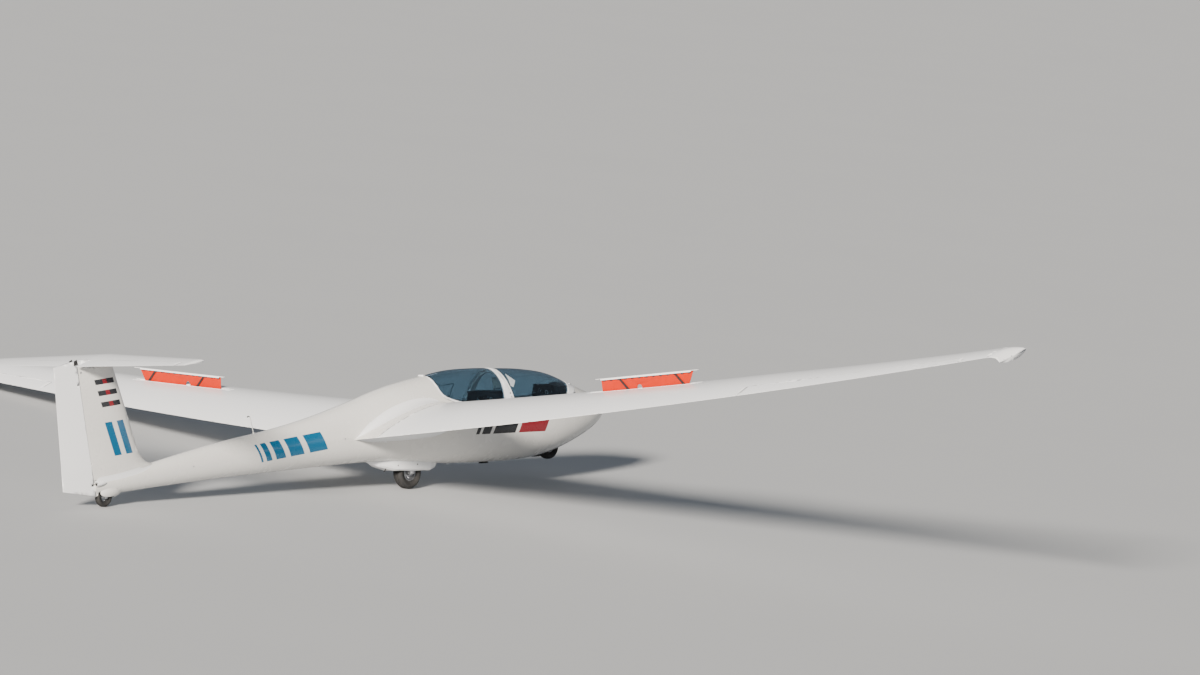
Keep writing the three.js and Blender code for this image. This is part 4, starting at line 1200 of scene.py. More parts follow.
# The straps, as (across, share of the seat's line).
SHOULDER_STRAP = ((0.07, 0.9), (0.075, 0.75), (0.07, 0.6), (0.055, 0.42), (0.03, 0.29), (0.016, 0.25))
LAP_STRAP = ((0.185, 0.36), (0.15, 0.31), (0.09, 0.26), (0.028, BUCKLE))


def curve_at(points, share):
    """A place, the direction and the way out of the seat on a chain of points, at a share of its length."""
    lengths = [0.0]
    for a, b in zip(points, points[1:]):
        lengths.append(lengths[-1] + (b - a).length)
    at = min(max(share, 0), 1) * lengths[-1]
    i = 1
    while i < len(points) - 1 and lengths[i] < at:
        i += 1
    a, b = points[i - 1], points[i]
    t = (at - lengths[i - 1]) / max(lengths[i] - lengths[i - 1], 1e-9)
    run = (b - a).normalized()
    return a.lerp(b, t), run, Vector((-run.z, 0, run.x))


def seat_curve(line):
    return spline_points([(x, 0, z) for x, z in line], 8)


def seat_shell(line):
    """A bucket of even thickness: the seat's line across, its edges curled up."""
    curve = seat_curve(line)

    def place(u, v):
        point, _, up = curve_at(curve, u)
        side = 2 * v - 1
        half = min(SEAT_HALF, pod_half_width(point.x, point.z, 0.03))
        return point + Vector((0, side * half, 0)) + up * (0.035 * abs(side) ** 5)

    return smooth(subdivided(grid_sheet(place, 30, 16, PAN_DEPTH)), 40)


def seat_frame(line, share, lift=0.0):
    """A matrix on the seat: x across to starboard, y along the line, z out of the shell."""
    point, run, out = curve_at(seat_curve(line), share)
    turn = Matrix((run.cross(out), run, out)).transposed().to_4x4()
    return Matrix.Translation(point + out * (PAN_DEPTH / 2 + lift)) @ turn


def swell(piece, cap):
    """Blows a pad up as cloth under pressure, no point further than the cap from its place."""
    before = read(piece.data.vertices, "co")
    alone(piece)
    cloth = piece.modifiers.new("Cloth", "CLOTH")
    cloth.settings.effector_weights.gravity = 0
    for key, value in CLOTH.items():
        setattr(cloth.settings, key, value)
    for step in range(1, CLOTH_FRAMES + 1):
        bpy.context.scene.frame_set(step)
    bpy.ops.object.modifier_apply(modifier=cloth.name)
    bpy.context.scene.frame_set(1)
    shift = read(piece.data.vertices, "co") - before
    far = np.linalg.norm(shift, axis=1)
    shift *= np.minimum(1, cap / np.maximum(far, 1e-9))[:, None]
    set_points(piece.data, before + shift)


def pad_place(x, y, width, length):
    """Where a point at the shares x and y of a pad lies: its sides pulled in between the corners."""
    waist = PAD_PULL * ((1 - (2 * y) ** 2) * abs(2 * x) ** 6 * (1 if x > 0 else -1))
    ends = PAD_PULL * ((1 - (2 * x) ** 2) * abs(2 * y) ** 6 * (1 if y > 0 else -1))
    rounded = 1 - 0.05 * abs(2 * x) ** 8 * abs(2 * y) ** 8
    return x * width * rounded - waist, y * length * rounded - ends


def cushion(width, length, thick, channels):
    """A pad lying on z = 0: crowned, and with sewn channels across."""
    piece = settled(added(bpy.ops.mesh.primitive_cube_add, size=1, location=(0, 0, 0.5)))
    with editing(piece):
        bpy.ops.mesh.subdivide(number_cuts=9)
    for vertex in piece.data.vertices:
        x, y, z = vertex.co
        crown = (1 - (2 * x) ** 4) * (1 - (2 * y) ** 4)
        vertex.co = (*pad_place(x, y, width, length), z * thick * (0.55 + 0.45 * crown))
    alone(piece)
    piece.data.remesh_voxel_size = PAD_VOXEL
    bpy.ops.object.voxel_remesh()
    swell(piece, settings().cushion_swell)
    points = read(piece.data.vertices, "co")
    top = np.clip((points[:, 2] - 0.3 * thick) / (0.5 * thick), 0, 1)
    for at in channels:
        points[:, 2] -= 0.010 * np.exp(-((points[:, 1] - at) / 0.006) ** 2) * top
    points[points[:, 2] < 0.004, 2] = 0.0
    set_points(piece.data, points)
    return smooth(subdivided(piece), 70)


def piping(width, length, height, steps=14):
    """The sewn piping round a pad's upper edge."""
    path = []
    for (ax, ay), (bx, by) in zip(CORNERS, CORNERS[1:] + CORNERS[:1]):
        for i in range(steps):
            t = i / steps
            x, y = (ax + (bx - ax) * t) / 2, (ay + (by - ay) * t) / 2
            path.append(Vector((*pad_place(x, y, width, length), height)))
    return smooth(swept([*path, path[0]], PIPING, 2, ends=False), 60)


def add_pad(name, matrix, width, length, thick, channels, cloth="cushion_cloth"):
    """A cushion and its piping, set on the seat."""
    pad = carried(cushion(width, length, thick, channels), matrix)
    fitted(name, [pad], "cockpit_shell", cloth)
    edge = carried(piping(width + 0.012, length + 0.012, thick * 0.42), matrix)
    fitted(f"{name}_piping", [edge], "cockpit_shell", "leather")


class SAILPLANE_OT_seats(bpy.types.Operator):
    """Makes both seat shells and their cushions and headrests"""

    bl_idname = "sailplane.seats"
    bl_label = "Seats"

    def execute(self, context):
        for seat, line in SEATS:
            fitted(f"{seat}_seat_shell", [seat_shell(line)], "cockpit_shell", "seat_shell",
                   node=f"{seat}_seat")
            add_pad(f"{seat}_seat_cushion", seat_frame(line, 0.14, 0.001), 0.3, 0.17, 0.045, (0,))
            add_pad(f"{seat}_back_cushion", seat_frame(line, 0.63, 0.001), 0.36, 0.4, 0.04,
                    (-0.12, -0.04, 0.04, 0.12))
            rest = seat_frame(FRONT_HEADREST, 0.5) if seat == "front" else seat_frame(line, 0.955, 0.002)
            add_pad(f"{seat}_headrest", rest, 0.2, 0.13, 0.05, (), "headrest_cloth")
        fitted("headrest_posts", [bar((1.655, y, 0.07), (1.657, y, 0.3), 0.006, 14) for y in (-0.045, 0.045)],
               "steel", soft=50)
        return {"FINISHED"}


def carrier_tree(*names):
    """A search tree over finished pieces, in the level frame."""
    vertices, faces = [], []
    for name in names:
        mesh = bpy.data.objects[name].data
        first = len(vertices)
        vertices += [LEVEL @ v.co for v in mesh.vertices]
        faces += [[first + i for i in p.vertices] for p in mesh.polygons]
    return BVHTree.FromPolygons(vertices, faces)


def laid_line(line, tree, controls, gap=0.0025):
    """A line laid along a seat through the controls, dips bridged, and the way out at each point."""
    curve = seat_curve(line)
    heights, bases, outs = [], [], []
    for spot in spline_points([(x, share, 0) for x, share in controls], 10):
        point, _, out = curve_at(curve, spot.y)
        base = point + Vector((0, spot.x, 0))
        hit = tree.ray_cast(base + out * 0.16, -out, 0.3)[0]
        heights.append((hit - base).dot(out) + gap if hit is not None else gap)
        bases.append(base)
        outs.append(out)
    for _ in range(60):
        for i in range(1, len(heights) - 1):
            heights[i] = max(heights[i], (heights[i - 1] + heights[i + 1]) / 2 - 0.0004)
    return [b + o * h for b, o, h in zip(bases, outs, heights)], outs


def strap(path, outs, half):
    """Webbing along a laid line."""
    last = len(path) - 1
    sides = []
    for i, out in enumerate(outs):
        run = path[min(i + 1, last)] - path[max(i - 1, 0)]
        sides.append(run.cross(out).normalized() * half)

    def place(u, v):
        i = min(int(round(u * last)), last)
        return path[i] + sides[i] * (2 * v - 1)

    return smooth(grid_sheet(place, last, 6, 0.0016), 50)


def rotary_buckle(place, out):
    """A round buckle with four tongues and a turning key."""
    run = Vector((out.z, 0, -out.x))
    parts = [smooth(turned(BUCKLE_PROFILE, place, out, 40), 40)]
    for way, along in ((-1, 1), (1, 1), (-1, -0.35), (1, -0.35)):
        aim = (STARBOARD * way + run * -along).normalized()
        wide = aim.cross(out) * 0.016
        root, tip = place + aim * 0.028, place + aim * 0.062
        parts.append(outline_plate([root - wide, tip - wide * 1.4, tip + wide * 1.4, root + wide],
                                   out * 0.003, 0.0008))
    parts.append(outline_plate([place + STARBOARD * a * 0.015 + run * b * 0.0045 + out * 0.017
                                for a, b in CORNERS], out * 0.006, 0.0015))
    return parts


class SAILPLANE_OT_harness(bpy.types.Operator):
    """Makes the four-point harness of each seat with its rotary buckle"""

    bl_idname = "sailplane.harness"
    bl_label = "Harness"

    def execute(self, context):
        half = settings().webbing_width / 2
        for seat, line in SEATS:
            tree = carrier_tree(f"{seat}_seat_shell", f"{seat}_seat_cushion", f"{seat}_back_cushion")
            straps = [strap(*laid_line(line, tree, [(way * x, share) for x, share in controls]), half)
                      for way in (-1, 1) for controls in (SHOULDER_STRAP, LAP_STRAP)]
            fitted(f"{seat}_harness", straps, "cockpit_shell", "webbing")
            path, outs = laid_line(line, tree, ((0.05, 0.24), (0.02, 0.236), (0.0, BUCKLE)), 0.007)
            fitted(f"{seat}_harness_buckle", rotary_buckle(path[-1], outs[-1]), "steel")
        return {"FINISHED"}


# An instrument face: x at the height, height, lean.
FRONT_FACE = (0.9265, 0.208, 0.057)
REAR_FACE = (1.8855, 0.24, 0.0616)
RADIO_HEIGHT = 0.062
SWITCH_HEIGHT = 0.004
BEZEL_PROFILE = ((0.86, 0.001), (0.9, 0.008), (1.04, 0.008), (1.1, 0.004), (1.1, -0.002), (0.86, -0.002))
# Instruments: across, height, radius, hands (angle, length), marks.
FRONT_DIALS = (
    (-0.122, 0.13, 0.036, ((150, 0.7),), 17),
    (-0.037, 0.152, 0.038, ((60, 0.62), (200, 0.42)), 21),
    (0.05, 0.135, 0.036, ((180, 0.7),), 11),
    (0.128, 0.145, 0.03, ((240, 0.7),), 13),
    (-0.088, 0.05, 0.031, ((180, 0.7),), 11),
    (-0.01, 0.05, 0.031, ((95, 0.66),), 13),
)
REAR_DIALS = (
    (-0.095, 0.165, 0.040, ((140, 0.7),), 17),
    (0.0, 0.165, 0.040, ((75, 0.62), (215, 0.42)), 21),
    (0.095, 0.165, 0.040, ((180, 0.7),), 11),
    (-0.07, 0.07, 0.031, ((170, 0.66),), 13),
)


def dial(centre, normal, radius, hands, marks):
    """An instrument: its bezel with four screws, and the white marks and hands on its face."""
    normal = normal.normalized()
    upward = normal.cross(STARBOARD).normalized()
    if upward.z < 0:
        upward.negate()

    def ray(degrees):
        angle = math.radians(degrees)
        return STARBOARD * math.cos(angle) + upward * math.sin(angle)

    bezel = turned([(radius * share, along) for share, along in BEZEL_PROFILE], centre, normal, 40)
    flange = [screw_head(centre + (STARBOARD * a + upward * b) * radius * 0.98, normal, 0.0032, 0.0016)
              for a, b in CORNERS]
    white = []
    for i in range(marks):
        out = ray(225 - 270 * i / (marks - 1))
        wide, inner = (0.0011, 0.68) if i % 2 == 0 else (0.0006, 0.74)
        side, lift = normal.cross(out) * wide, normal * 0.002
        near, far = centre + out * (radius * inner), centre + out * radius * 0.82
        white.append(outline_plate([near - side + lift, far - side + lift, far + side + lift,
                                    near + side + lift], normal * 0.0004))
    for turn, share in hands:
        out = ray(turn)
        side, lift = normal.cross(out) * 0.0016, normal * 0.003
        tail = centre - out * radius * 0.16
        white.append(outline_plate([tail - side + lift, centre + out * radius * share + lift,
                                    tail + side + lift], normal * 0.0005))
    white.append(turned([(0, 0.0045), (0.0028, 0.004), (0.0032, 0.0024), (0, 0.0024)], centre, normal, 16))
    return [smooth(bezel, 40), *flange], white


def panel_fittings(seat, face, dials, box_side):
    """The dials, a radio box with two knobs and a lit window, and a row of switches below it."""
    face_x, top, lean = face
    normal = Vector((1, 0, -lean)).normalized()

    def on_face(y, z):
        return Vector((face_x - lean * (top - z), y, z))

    dark, white = [], []
    for across, height, radius, hands, marks in dials:
        bezels, marks_made = dial(on_face(across, height) + normal * 0.0004, normal, radius, hands, marks)
        dark += bezels
        white += marks_made
    across, height, radius = dials[2][:3]
    white.append(turned([(radius * 0.5, 0.0022), (radius * 0.5, 0.0036), (radius * 0.62, 0.0036),
                         (radius * 0.62, 0.0022)], on_face(across, height), normal, 32))
    fitted(f"{seat}_dial_bezels", dark, "panel_black", "seal_rubber")
    fitted(f"{seat}_dial_marks", white, "panel_black", "white_plastic")

    y, z = box_side, RADIO_HEIGHT
    x = face_x - lean * (top - z)
    radio = outline_plate([(x, y + a * 0.03, z + b * 0.024) for a, b in CORNERS], normal * 0.006, 0.002)
    window = outline_plate([(x, y + a * 0.02, z + (0.017 if b > 0 else 0.004)) for a, b in CORNERS],
                           normal * 0.0068, 0.0008)
    knobs = [smooth(turned([(0, 0.017), (0.006, 0.0165), (0.0075, 0.014), (0.008, 0.005), (0, 0.005)],
                           (x, y + way * 0.015, z - 0.01), normal, 20), 40) for way in (-1, 1)]
    fitted(f"{seat}_radio", [radio, *knobs], "panel_black")
    fitted(f"{seat}_radio_window", [window], "panel_black", "green_knob")
    toggles = []
    for i in range(5):
        spot = on_face(-0.06 + i * 0.03, SWITCH_HEIGHT)
        tip = spot + normal * 0.014 + Vector((0, 0, 0.005 - 0.01 * (i % 2)))
        toggles += [turned([(0, 0.004), (0.0045, 0.004), (0.006, 0.002), (0.006, -0.001), (0, -0.001)],
                           spot, normal, 6),
                    bar(spot + normal * 0.003, tip, 0.0018, 10, 0.0006)]
    fitted(f"{seat}_switches", toggles, "steel")


def control_stick(seat, x, foot, top):
    """A stick: a leather boot in folds, a steel shaft, and a moulded grip with its button."""
    lean = Vector((-0.02, 0, top - foot))
    axis, length = lean.normalized(), lean.length
    base = Vector((x, 0, foot))
    crown = base + axis * length
    profile = [(0.0105, 0.09)]
    for i in range(6):
        height = 0.085 - i * 0.018
        radius = 0.016 + i * 0.0062
        profile += [(radius + 0.005, height - 0.004), (radius, height - 0.011)]
    profile += [(0.056, -0.03), (0.0105, -0.03)]
    fitted(f"{seat}_stick_boot", [turned(profile, base, axis)], "panel_black", "leather", soft=60)
    fitted(f"{seat}_stick_shaft", [bar(base + axis * 0.02, base + axis * (length - 0.09), 0.0095, 24)],
           "steel", soft=30)
    grip = turned([(0, length), (0.012, length - 0.001), (0.0175, length - 0.007), (0.0185, length - 0.016),
                   (0.0165, length - 0.03), (0.0178, length - 0.045), (0.0162, length - 0.06),
                   (0.0178, length - 0.076), (0.0165, length - 0.092), (0.019, length - 0.108),
                   (0.0135, length - 0.113), (0, length - 0.113)], base, axis)
    with editing(grip) as mesh:
        choose(grip, mesh.faces, "FACE", lambda f: (f.calc_center_median() - crown).length < 0.016)
        bpy.ops.mesh.inset(thickness=0.002, depth=-0.0006)
    button = turned([(0, 0.005), (0.0045, 0.0045), (0.0055, 0.002), (0.0055, -0.002), (0, -0.002)],
                    crown, axis, 20)
    fitted(f"{seat}_stick_grip", [grip], "panel_black", node=f"{seat}_stick", soft=50)
    fitted(f"{seat}_talk_button", [button], "panel_black", "red_knob", soft=40)


def side_lever(name, x, z, reach, colour, knob):
    """A lever on the port wall: a pivot plate, a bent rod and a coloured knob."""
    wall = -pod_half_width(x, z, 0.0135)
    plate = outline_plate([(x + a * 0.06, wall, z + b * 0.018) for a, b in CORNERS], (0, 0.006, 0), 0.002)
    start = Vector((x, wall + 0.002, z))
    steps = ((0, 0.03, 0.002), (-reach * 0.4, 0.045, 0.01), (-reach, 0.048, 0.022))
    path = spline_points([start, *(start + Vector(step) for step in steps)], 6)
    shape = ((0, 0.5), (0.55, 0.42), (0.9, 0), (1, -0.6), (0.92, -1.4), (0.6, -2), (0.42, -2.2), (0, -2.2))
    ball = turned([(r * knob, a * knob) for r, a in shape], path[-1] + Vector((-knob, 0, 0)), (-1, 0, 0), 28)
    fitted(f"{name}_rod", [plate, smooth(swept(path, 0.005), 50)], "steel")
    fitted(f"{name}_knob", [ball], "panel_black", colour, soft=60)


def pedals(name, x, z, half):
    """A pair of rudder pedals on their tubes."""
    parts = []
    for way in (-1, 1):
        y = way * half
        rim = spline_points([(x, y - 0.035, z), (x - 0.006, y - 0.035, z + 0.12), (x - 0.02, y, z + 0.15),
                             (x - 0.006, y + 0.035, z + 0.12), (x, y + 0.035, z)], 6)
        parts.append(smooth(swept(rim, 0.006), 50))
        for i in range(4):
            height = z + 0.02 + i * 0.028
            parts.append(bar((x - 0.002, y - 0.036, height), (x - 0.002, y + 0.036, height), 0.005, 12))
    parts.append(bar((x, -half - 0.05, z - 0.002), (x, half + 0.05, z - 0.002), 0.008))
    fitted(name, parts, "steel")


class SAILPLANE_OT_cockpit(bpy.types.Operator):
    """Makes the instrument panels, sticks, levers and pedals"""

    bl_idname = "sailplane.cockpit"
    bl_label = "Cockpit"

    def execute(self, context):
        for seat in ("front", "rear"):
            fitted(f"{seat}_panel_hood", [softened_copy(f"{seat}_panel", 0.006, 3, 30)], "panel_black",
                   node=f"{seat}_panel")
        panel_fittings("front", FRONT_FACE, FRONT_DIALS, 0.1)
        panel_fittings("rear", REAR_FACE, REAR_DIALS, 0.06)
        fitted("rear_hood_trim", [bar((1.901, -0.2, 0.257), (1.901, 0.06, 0.257), 0.004, 12)], "panel_black",
               "white_plastic", soft=30)
        # A small white plate on the front hood, put where a white glint shows: a painted highlight.
        fitted("front_hood_lamp", [outline_plate(
            [(0.9525, -0.062, 0.221), (0.9525, -0.026, 0.221), (0.9495, -0.026, 0.2325),
             (0.9495, -0.062, 0.2325)], (0.006, 0, 0.001), 0.0012)], "panel_black", "white_plastic")
        control_stick("front", 1.13, -0.53, -0.09)
        control_stick("rear", 1.985, -0.496, -0.04)
        for seat, x in (("front", 1.3), ("rear", 2.14)):
            side_lever(f"{seat}_airbrake_lever", x, -0.06, 0.16, "blue_knob", 0.017)
            side_lever(f"{seat}_trim_lever", x + 0.02, -0.17, 0.06, "green_knob", 0.012)
            side_lever(f"{seat}_release_pull", x - 0.26, 0.0, 0.05, "yellow_knob", 0.014)
        pedals("front_pedals", 0.6, -0.24, 0.1)
        pedals("rear_pedals", 1.56, -0.42, 0.12)
        return {"FINISHED"}


# Wheels: name, centre, radius, width, rim radius, how far the axle's nuts lie outside the tyre.
WHEELS = (
    ("main", MAIN_WHEEL, 0.18, 0.127, 0.092, 0.014),
    ("nose", NOSE_WHEEL, 0.148, 0.1, 0.072, 0.014),
    ("tail", TAIL_WHEEL, 0.105, 0.065, 0.052, 0.010),
)
NUT_PROFILE = ((0, 0.007), (0.009, 0.007), (0.0115, 0.005), (0.0115, 0), (0.015, 0), (0.015, -0.0015),
               (0, -0.0015))
BOLT_PROFILE = ((0, 0.006), (0.0042, 0.006), (0.005, 0.005), (0.005, 0.0), (0.0068, 0.0),
                (0.0068, -0.001), (0, -0.001))


def tyre(centre, radius, width, rim):
    """A tyre with three tread grooves and plain, ribbed sidewalls."""
    half = width / 2
    deep = radius - rim
    side = [(rim, 0.62), (rim + 0.1 * deep, 0.74), (rim + 0.16 * deep, 0.72), (rim + 0.3 * deep, 0.9),
            (rim + 0.6 * deep, 1.0), (rim + 0.64 * deep, 0.975), (rim + 0.7 * deep, 0.96),
            (rim + 0.85 * deep, 0.78), (radius * 0.972, 0.56), (radius * 0.98, 0.42)]
    groove = 0.03 * radius
    tread = []
    for at in (0.3, 0.0, -0.3):
        edge = radius * (1 - 0.02 * (abs(at) / 0.42) ** 2)
        tread += [(edge, at + 0.055), (edge - groove, at + 0.04), (edge - groove, at - 0.04),
                  (edge, at - 0.055)]
    profile = [(r, -w * half) for r, w in side] + [(r, -w * half) for r, w in tread]
    profile += [(r, w * half) for r, w in reversed(side)]
    return turned(profile, centre, STARBOARD, 72)


def wheel_rim(centre, width, rim):
    """A cast rim: two flanges, a dished disc with round holes, a hub and its bolts."""
    half = 0.31 * width
    hub = half + 0.006
    profile = [(0.0124, -hub), (0.028, -hub), (0.031, -hub + 0.004), (0.035, -0.009), (0.04, -0.0075),
               (rim - 0.018, -0.0075), (rim - 0.013, -0.012), (rim - 0.009, -half + 0.002),
               (rim - 0.004, -half), (rim - 0.0005, -half + 0.001)]
    profile += [(r, -a) for r, a in reversed(profile)]
    piece = turned(profile, centre, STARBOARD, 64)

    def on_disc(angle):
        return centre + Vector((math.cos(angle), 0, math.sin(angle))) * ((rim + 0.03) / 2 - 0.004)

    spots = [on_disc(math.pi * i / 3) for i in range(6)]
    cutter = joined([bar(spot - STARBOARD * 0.05, spot + STARBOARD * 0.05, 0.2 * (rim - 0.03), 24, 0)
                     for spot in spots])
    apply_modifier(piece, "BOOLEAN", operation="DIFFERENCE", object=cutter, solver="EXACT")
    bpy.data.objects.remove(cutter)
    bolts = [turned(BOLT_PROFILE, on_disc(math.pi * (i + 0.5) / 3) + STARBOARD * way * 0.0075,
                    STARBOARD * way, 6) for i in range(6) for way in (-1, 1)]
    return [piece, *bolts]


class SAILPLANE_OT_wheels(bpy.types.Operator):
    """Makes the three wheels, their tyres, rims, forks and axle nuts"""

    bl_idname = "sailplane.wheels"
    bl_label = "Wheels"

    def execute(self, context):
        for name, centre, radius, width, rim, past in WHEELS:
            body = f"{name}_wheel"
            fitted(f"{name}_tyre_rubber", [tyre(centre, radius, width, rim)], "tyre_rubber", "rubber", body,
                   f"{name}_tyre", 32)
            fitted(f"{name}_rim_casting", wheel_rim(centre, width, rim), "wheel_alloy", "alloy", body,
                   f"{name}_wheel_rim", 32)
            root = centre + Vector((0.0, 0.25 * width, rim - 0.012))
            fitted(f"{name}_valve", [
                smooth(bar(root, root + Vector((0, 0.012, -0.012)), 0.003, 12, 0.0008)),
                smooth(bar(root + Vector((0, 0.01, -0.01)), root + Vector((0, 0.017, -0.017)), 0.0042, 12)),
            ], "tyre_rubber", "seal_rubber", body)
            fitted(f"{name}_fork_legs", [softened_copy(f"{name}_wheel_fork", 0.0025)], "steel",
                   node=f"{name}_wheel_fork")
            nuts = [turned(NUT_PROFILE, centre + STARBOARD * way * (width / 2 + past), STARBOARD * way, 6)
                    for way in (-1, 1)]
            fitted(f"{name}_axle_nuts", nuts, "steel")
        return {"FINISHED"}


BRAKE_FROM = on_surface(onto_wing, 3.128, 2.815, FAR)
BRAKE_TO = on_surface(onto_wing, 3.116, 4.24, FAR)
CAP_LENGTH = 1.43
LEVER_LENGTH = 0.2
LEVER_TOPS = (0.322, 1.102)
PIVOT_HEIGHT = LEVER_LENGTH * math.sin(math.radians(48)) - 0.03
BLADE_SHIFT = LEVER_LENGTH * (math.cos(math.radians(3)) - math.cos(math.radians(48)))
RIVET_HEIGHT = PIVOT_HEIGHT - 0.008
BLADE_FACES = (-0.008, -0.012)
STIFFENER_FACE = -0.0122
RAIL_FACES = ((0.0115, 0.0135), (-0.0145, -0.0132))
CLAMP = ((-0.018, -0.003), (-0.014, -0.007), (0.014, -0.007), (0.018, -0.003), (0.018, 0.007),
         (-0.018, 0.007))
RIVET_PROFILE = ((0, 0.0028), (0.004, 0.0024), (0.0062, 0.0008), (0.0062, -0.001), (0, -0.001))
CLIP_PROFILE = ((0, 0.003), (0.006, 0.003), (0.0075, 0.0015), (0.0075, -0.001), (0, -0.001))


def brake_matrix():
    """From the open airbrake's own frame (along, up, aft) to the starboard wing."""
    along = (BRAKE_TO - BRAKE_FROM).normalized()
    up = (Vector((0, 0, 1)) - along * along.z).normalized()
    return Matrix.Translation(BRAKE_FROM) @ Matrix((along, up, along.cross(up))).transposed().to_4x4()


def brake_parts():
    """The stiffener, the rivets and clamps, the lid's rails and the levers' clips, to starboard."""
    place = brake_matrix()
    turn = place.to_3x3()

    def plate(spots, depth, bevel):
        return outline_plate([place @ Vector(spot) for spot in spots], turn @ Vector((0, 0, depth)), bevel)

    rivets = []
    for i in range(13):
        s = 0.1 + i * 0.1
        for face, way in zip(BLADE_FACES, (1, -1)):
            rivets.append(turned(RIVET_PROFILE, place @ Vector((s, RIVET_HEIGHT, face)),
                                 turn @ Vector((0, 0, way)), 10))
        rivets.append(plate([(s + a, RIVET_HEIGHT + b, -0.0082) for a, b in CLAMP], 0.0022, 0.0005))
    low, high = PIVOT_HEIGHT - 0.03, PIVOT_HEIGHT - 0.022
    stiffener = plate([(s, height, STIFFENER_FACE) for s, height in (
        (0.07, low), (1.3, low), (1.3, high), (0.07, high))], -0.0022, 0.0007)
    low, high = PIVOT_HEIGHT + 0.001, PIVOT_HEIGHT + 0.0165
    rails = [plate([(0.07, low, near), (CAP_LENGTH - 0.095, low, near), (CAP_LENGTH - 0.085, high, near),
                    (0.062, high, near)], far - near, 0.0005) for near, far in RAIL_FACES]
    clips = [turned(CLIP_PROFILE, place @ Vector((s, PIVOT_HEIGHT, 0.0022)), turn @ Vector((0, 0, 1)), 16)
             for s in LEVER_TOPS]
    return stiffener, smooth(joined(rivets), 50), rails, clips


def slot_lip(fore):
    """The raised lip along one edge of the starboard airbrake's slot."""
    place = brake_matrix()

    def lip_place(u, v):
        flat = place @ Vector((-BLADE_SHIFT - 0.06 + u * (CAP_LENGTH + 0.14), 0, fore * (0.0245 + 0.011 * v)))
        raised = 0.0008 + 0.0012 * math.sin(math.pi * v)
        return on_surface(onto_wing, flat.x, flat.y, FAR) + Vector((0, 0, raised))

    return grid_sheet(lip_place, 30, 4, 0.0016)


class SAILPLANE_OT_airbrakes(bpy.types.Operator):
    """Makes the airbrakes' blades, caps, levers, bolts and the lips of their slots"""

    bl_idname = "sailplane.airbrakes"
    bl_label = "Airbrakes"

    def execute(self, context):
        stiffener, rivets, rails, clips = brake_parts()
        for side, word in SIDES:
            flip = Matrix.Identity(4) if side > 0 else MIRROR
            blade, cap = f"brake_blade_{word}", f"brake_cap_{word}"
            fitted(f"brake_plate_{word}", [softened_copy(blade, 0.0007, 1)], "signal_orange",
                   "signal_lacquer", blade, blade)
            fitted(f"brake_stiffener_{word}", [copied(stiffener, flip)], "signal_orange", "signal_lacquer",
                   blade)
            fitted(f"brake_lid_{word}", [softened_copy(cap, 0.0014), *(copied(rail, flip) for rail in rails)],
                   "gelcoat", body=blade, node=cap)
            fitted(f"brake_bolts_{word}", [copied(rivets, flip)], "steel", "panel_black", blade)
            for which, clip in zip(("inner", "outer"), clips):
                node = f"brake_{which}_lever_{word}"
                fitted(f"brake_{which}_arm_{word}", [softened_copy(node, 0.0008, 1)], "steel", "lever_steel",
                       node, node)
                fitted(f"brake_{which}_clip_{word}", [copied(clip, flip)], "steel", "panel_black", node,
                       soft=50)
            for edge, fore in (("fore", -1), ("aft", 1)):
                fitted(f"slot_lip_{edge}_{word}", [carried(slot_lip(fore), flip)], "gelcoat", soft=40)
        for pattern in (stiffener, rivets, *rails, *clips):
            bpy.data.objects.remove(pattern)
        return {"FINISHED"}


def vent_window(name, body, side, low, high):
    """A sliding window's frame on a canopy, with its runner and grip."""
    (x0, z0), (x1, z1) = low, high
    xm, zm = (x0 + x1) / 2, (z0 + z1) / 2
    corners = [(x, 0, z) for x, z in ((x0, z0), (xm, z0), (x1, z0), (x1, zm), (x1, z1), (xm, z1), (x0, z1),
                                      (x0, zm))]
    ring = spline_points([*corners, corners[0]], 6)
    rim = swept([skin_point(p.x, p.z, side, -0.0005) for p in ring], 0.0042, 2, ends=False)
    runner = [skin_point(x0 - 0.06 + (x1 - x0 + 0.08) * i / 8, z0 - 0.012, side, -0.0015) for i in range(9)]
    grip = turned([(0, 0.007), (0.008, 0.0065), (0.0095, 0.003), (0.009, -0.006), (0, -0.006)],
                  skin_point(x1 - 0.02, zm, side, 0.002), skin_normal(x1 - 0.02, zm, side), 24)
    parts = [smooth(rim, 60), smooth(swept(runner, 0.0035, 2), 60), smooth(grip, 50)]
    fitted(name, parts, "canopy_glass", "white_plastic", body)


def canopy_flap(name, body, side, corners):
    """A small flap on a canopy, a little open at its aft edge. corners are (x, z): two fore, two aft."""
    spots = [Vector((x, 0, z)) for x, z in corners]

    def place(u, v):
        at = spots[0].lerp(spots[1], v).lerp(spots[2].lerp(spots[3], v), u)
        return skin_point(at.x, at.z, side) + skin_normal(at.x, at.z, side) * (0.0012 + 0.012 * u)

    fitted(name, [grid_sheet(place, 12, 12, 0.0025)], "canopy_glass", "frosted_acrylic", body, soft=50)


# The latches on each canopy: x, z.
LATCHES = {"front": ((1.2, 0.079), (1.5, 0.087)), "rear": ((2.12, 0.161), (2.42, 0.185))}
LATCH_BASE = ((0, 0.006), (0.011, 0.006), (0.014, 0.003), (0.014, -0.006), (0, -0.006))
LATCH_KNOB = ((0, 0.013), (0.006, 0.011), (0.009, 0.004), (0.009, -0.004), (0.006, -0.011), (0, -0.013))


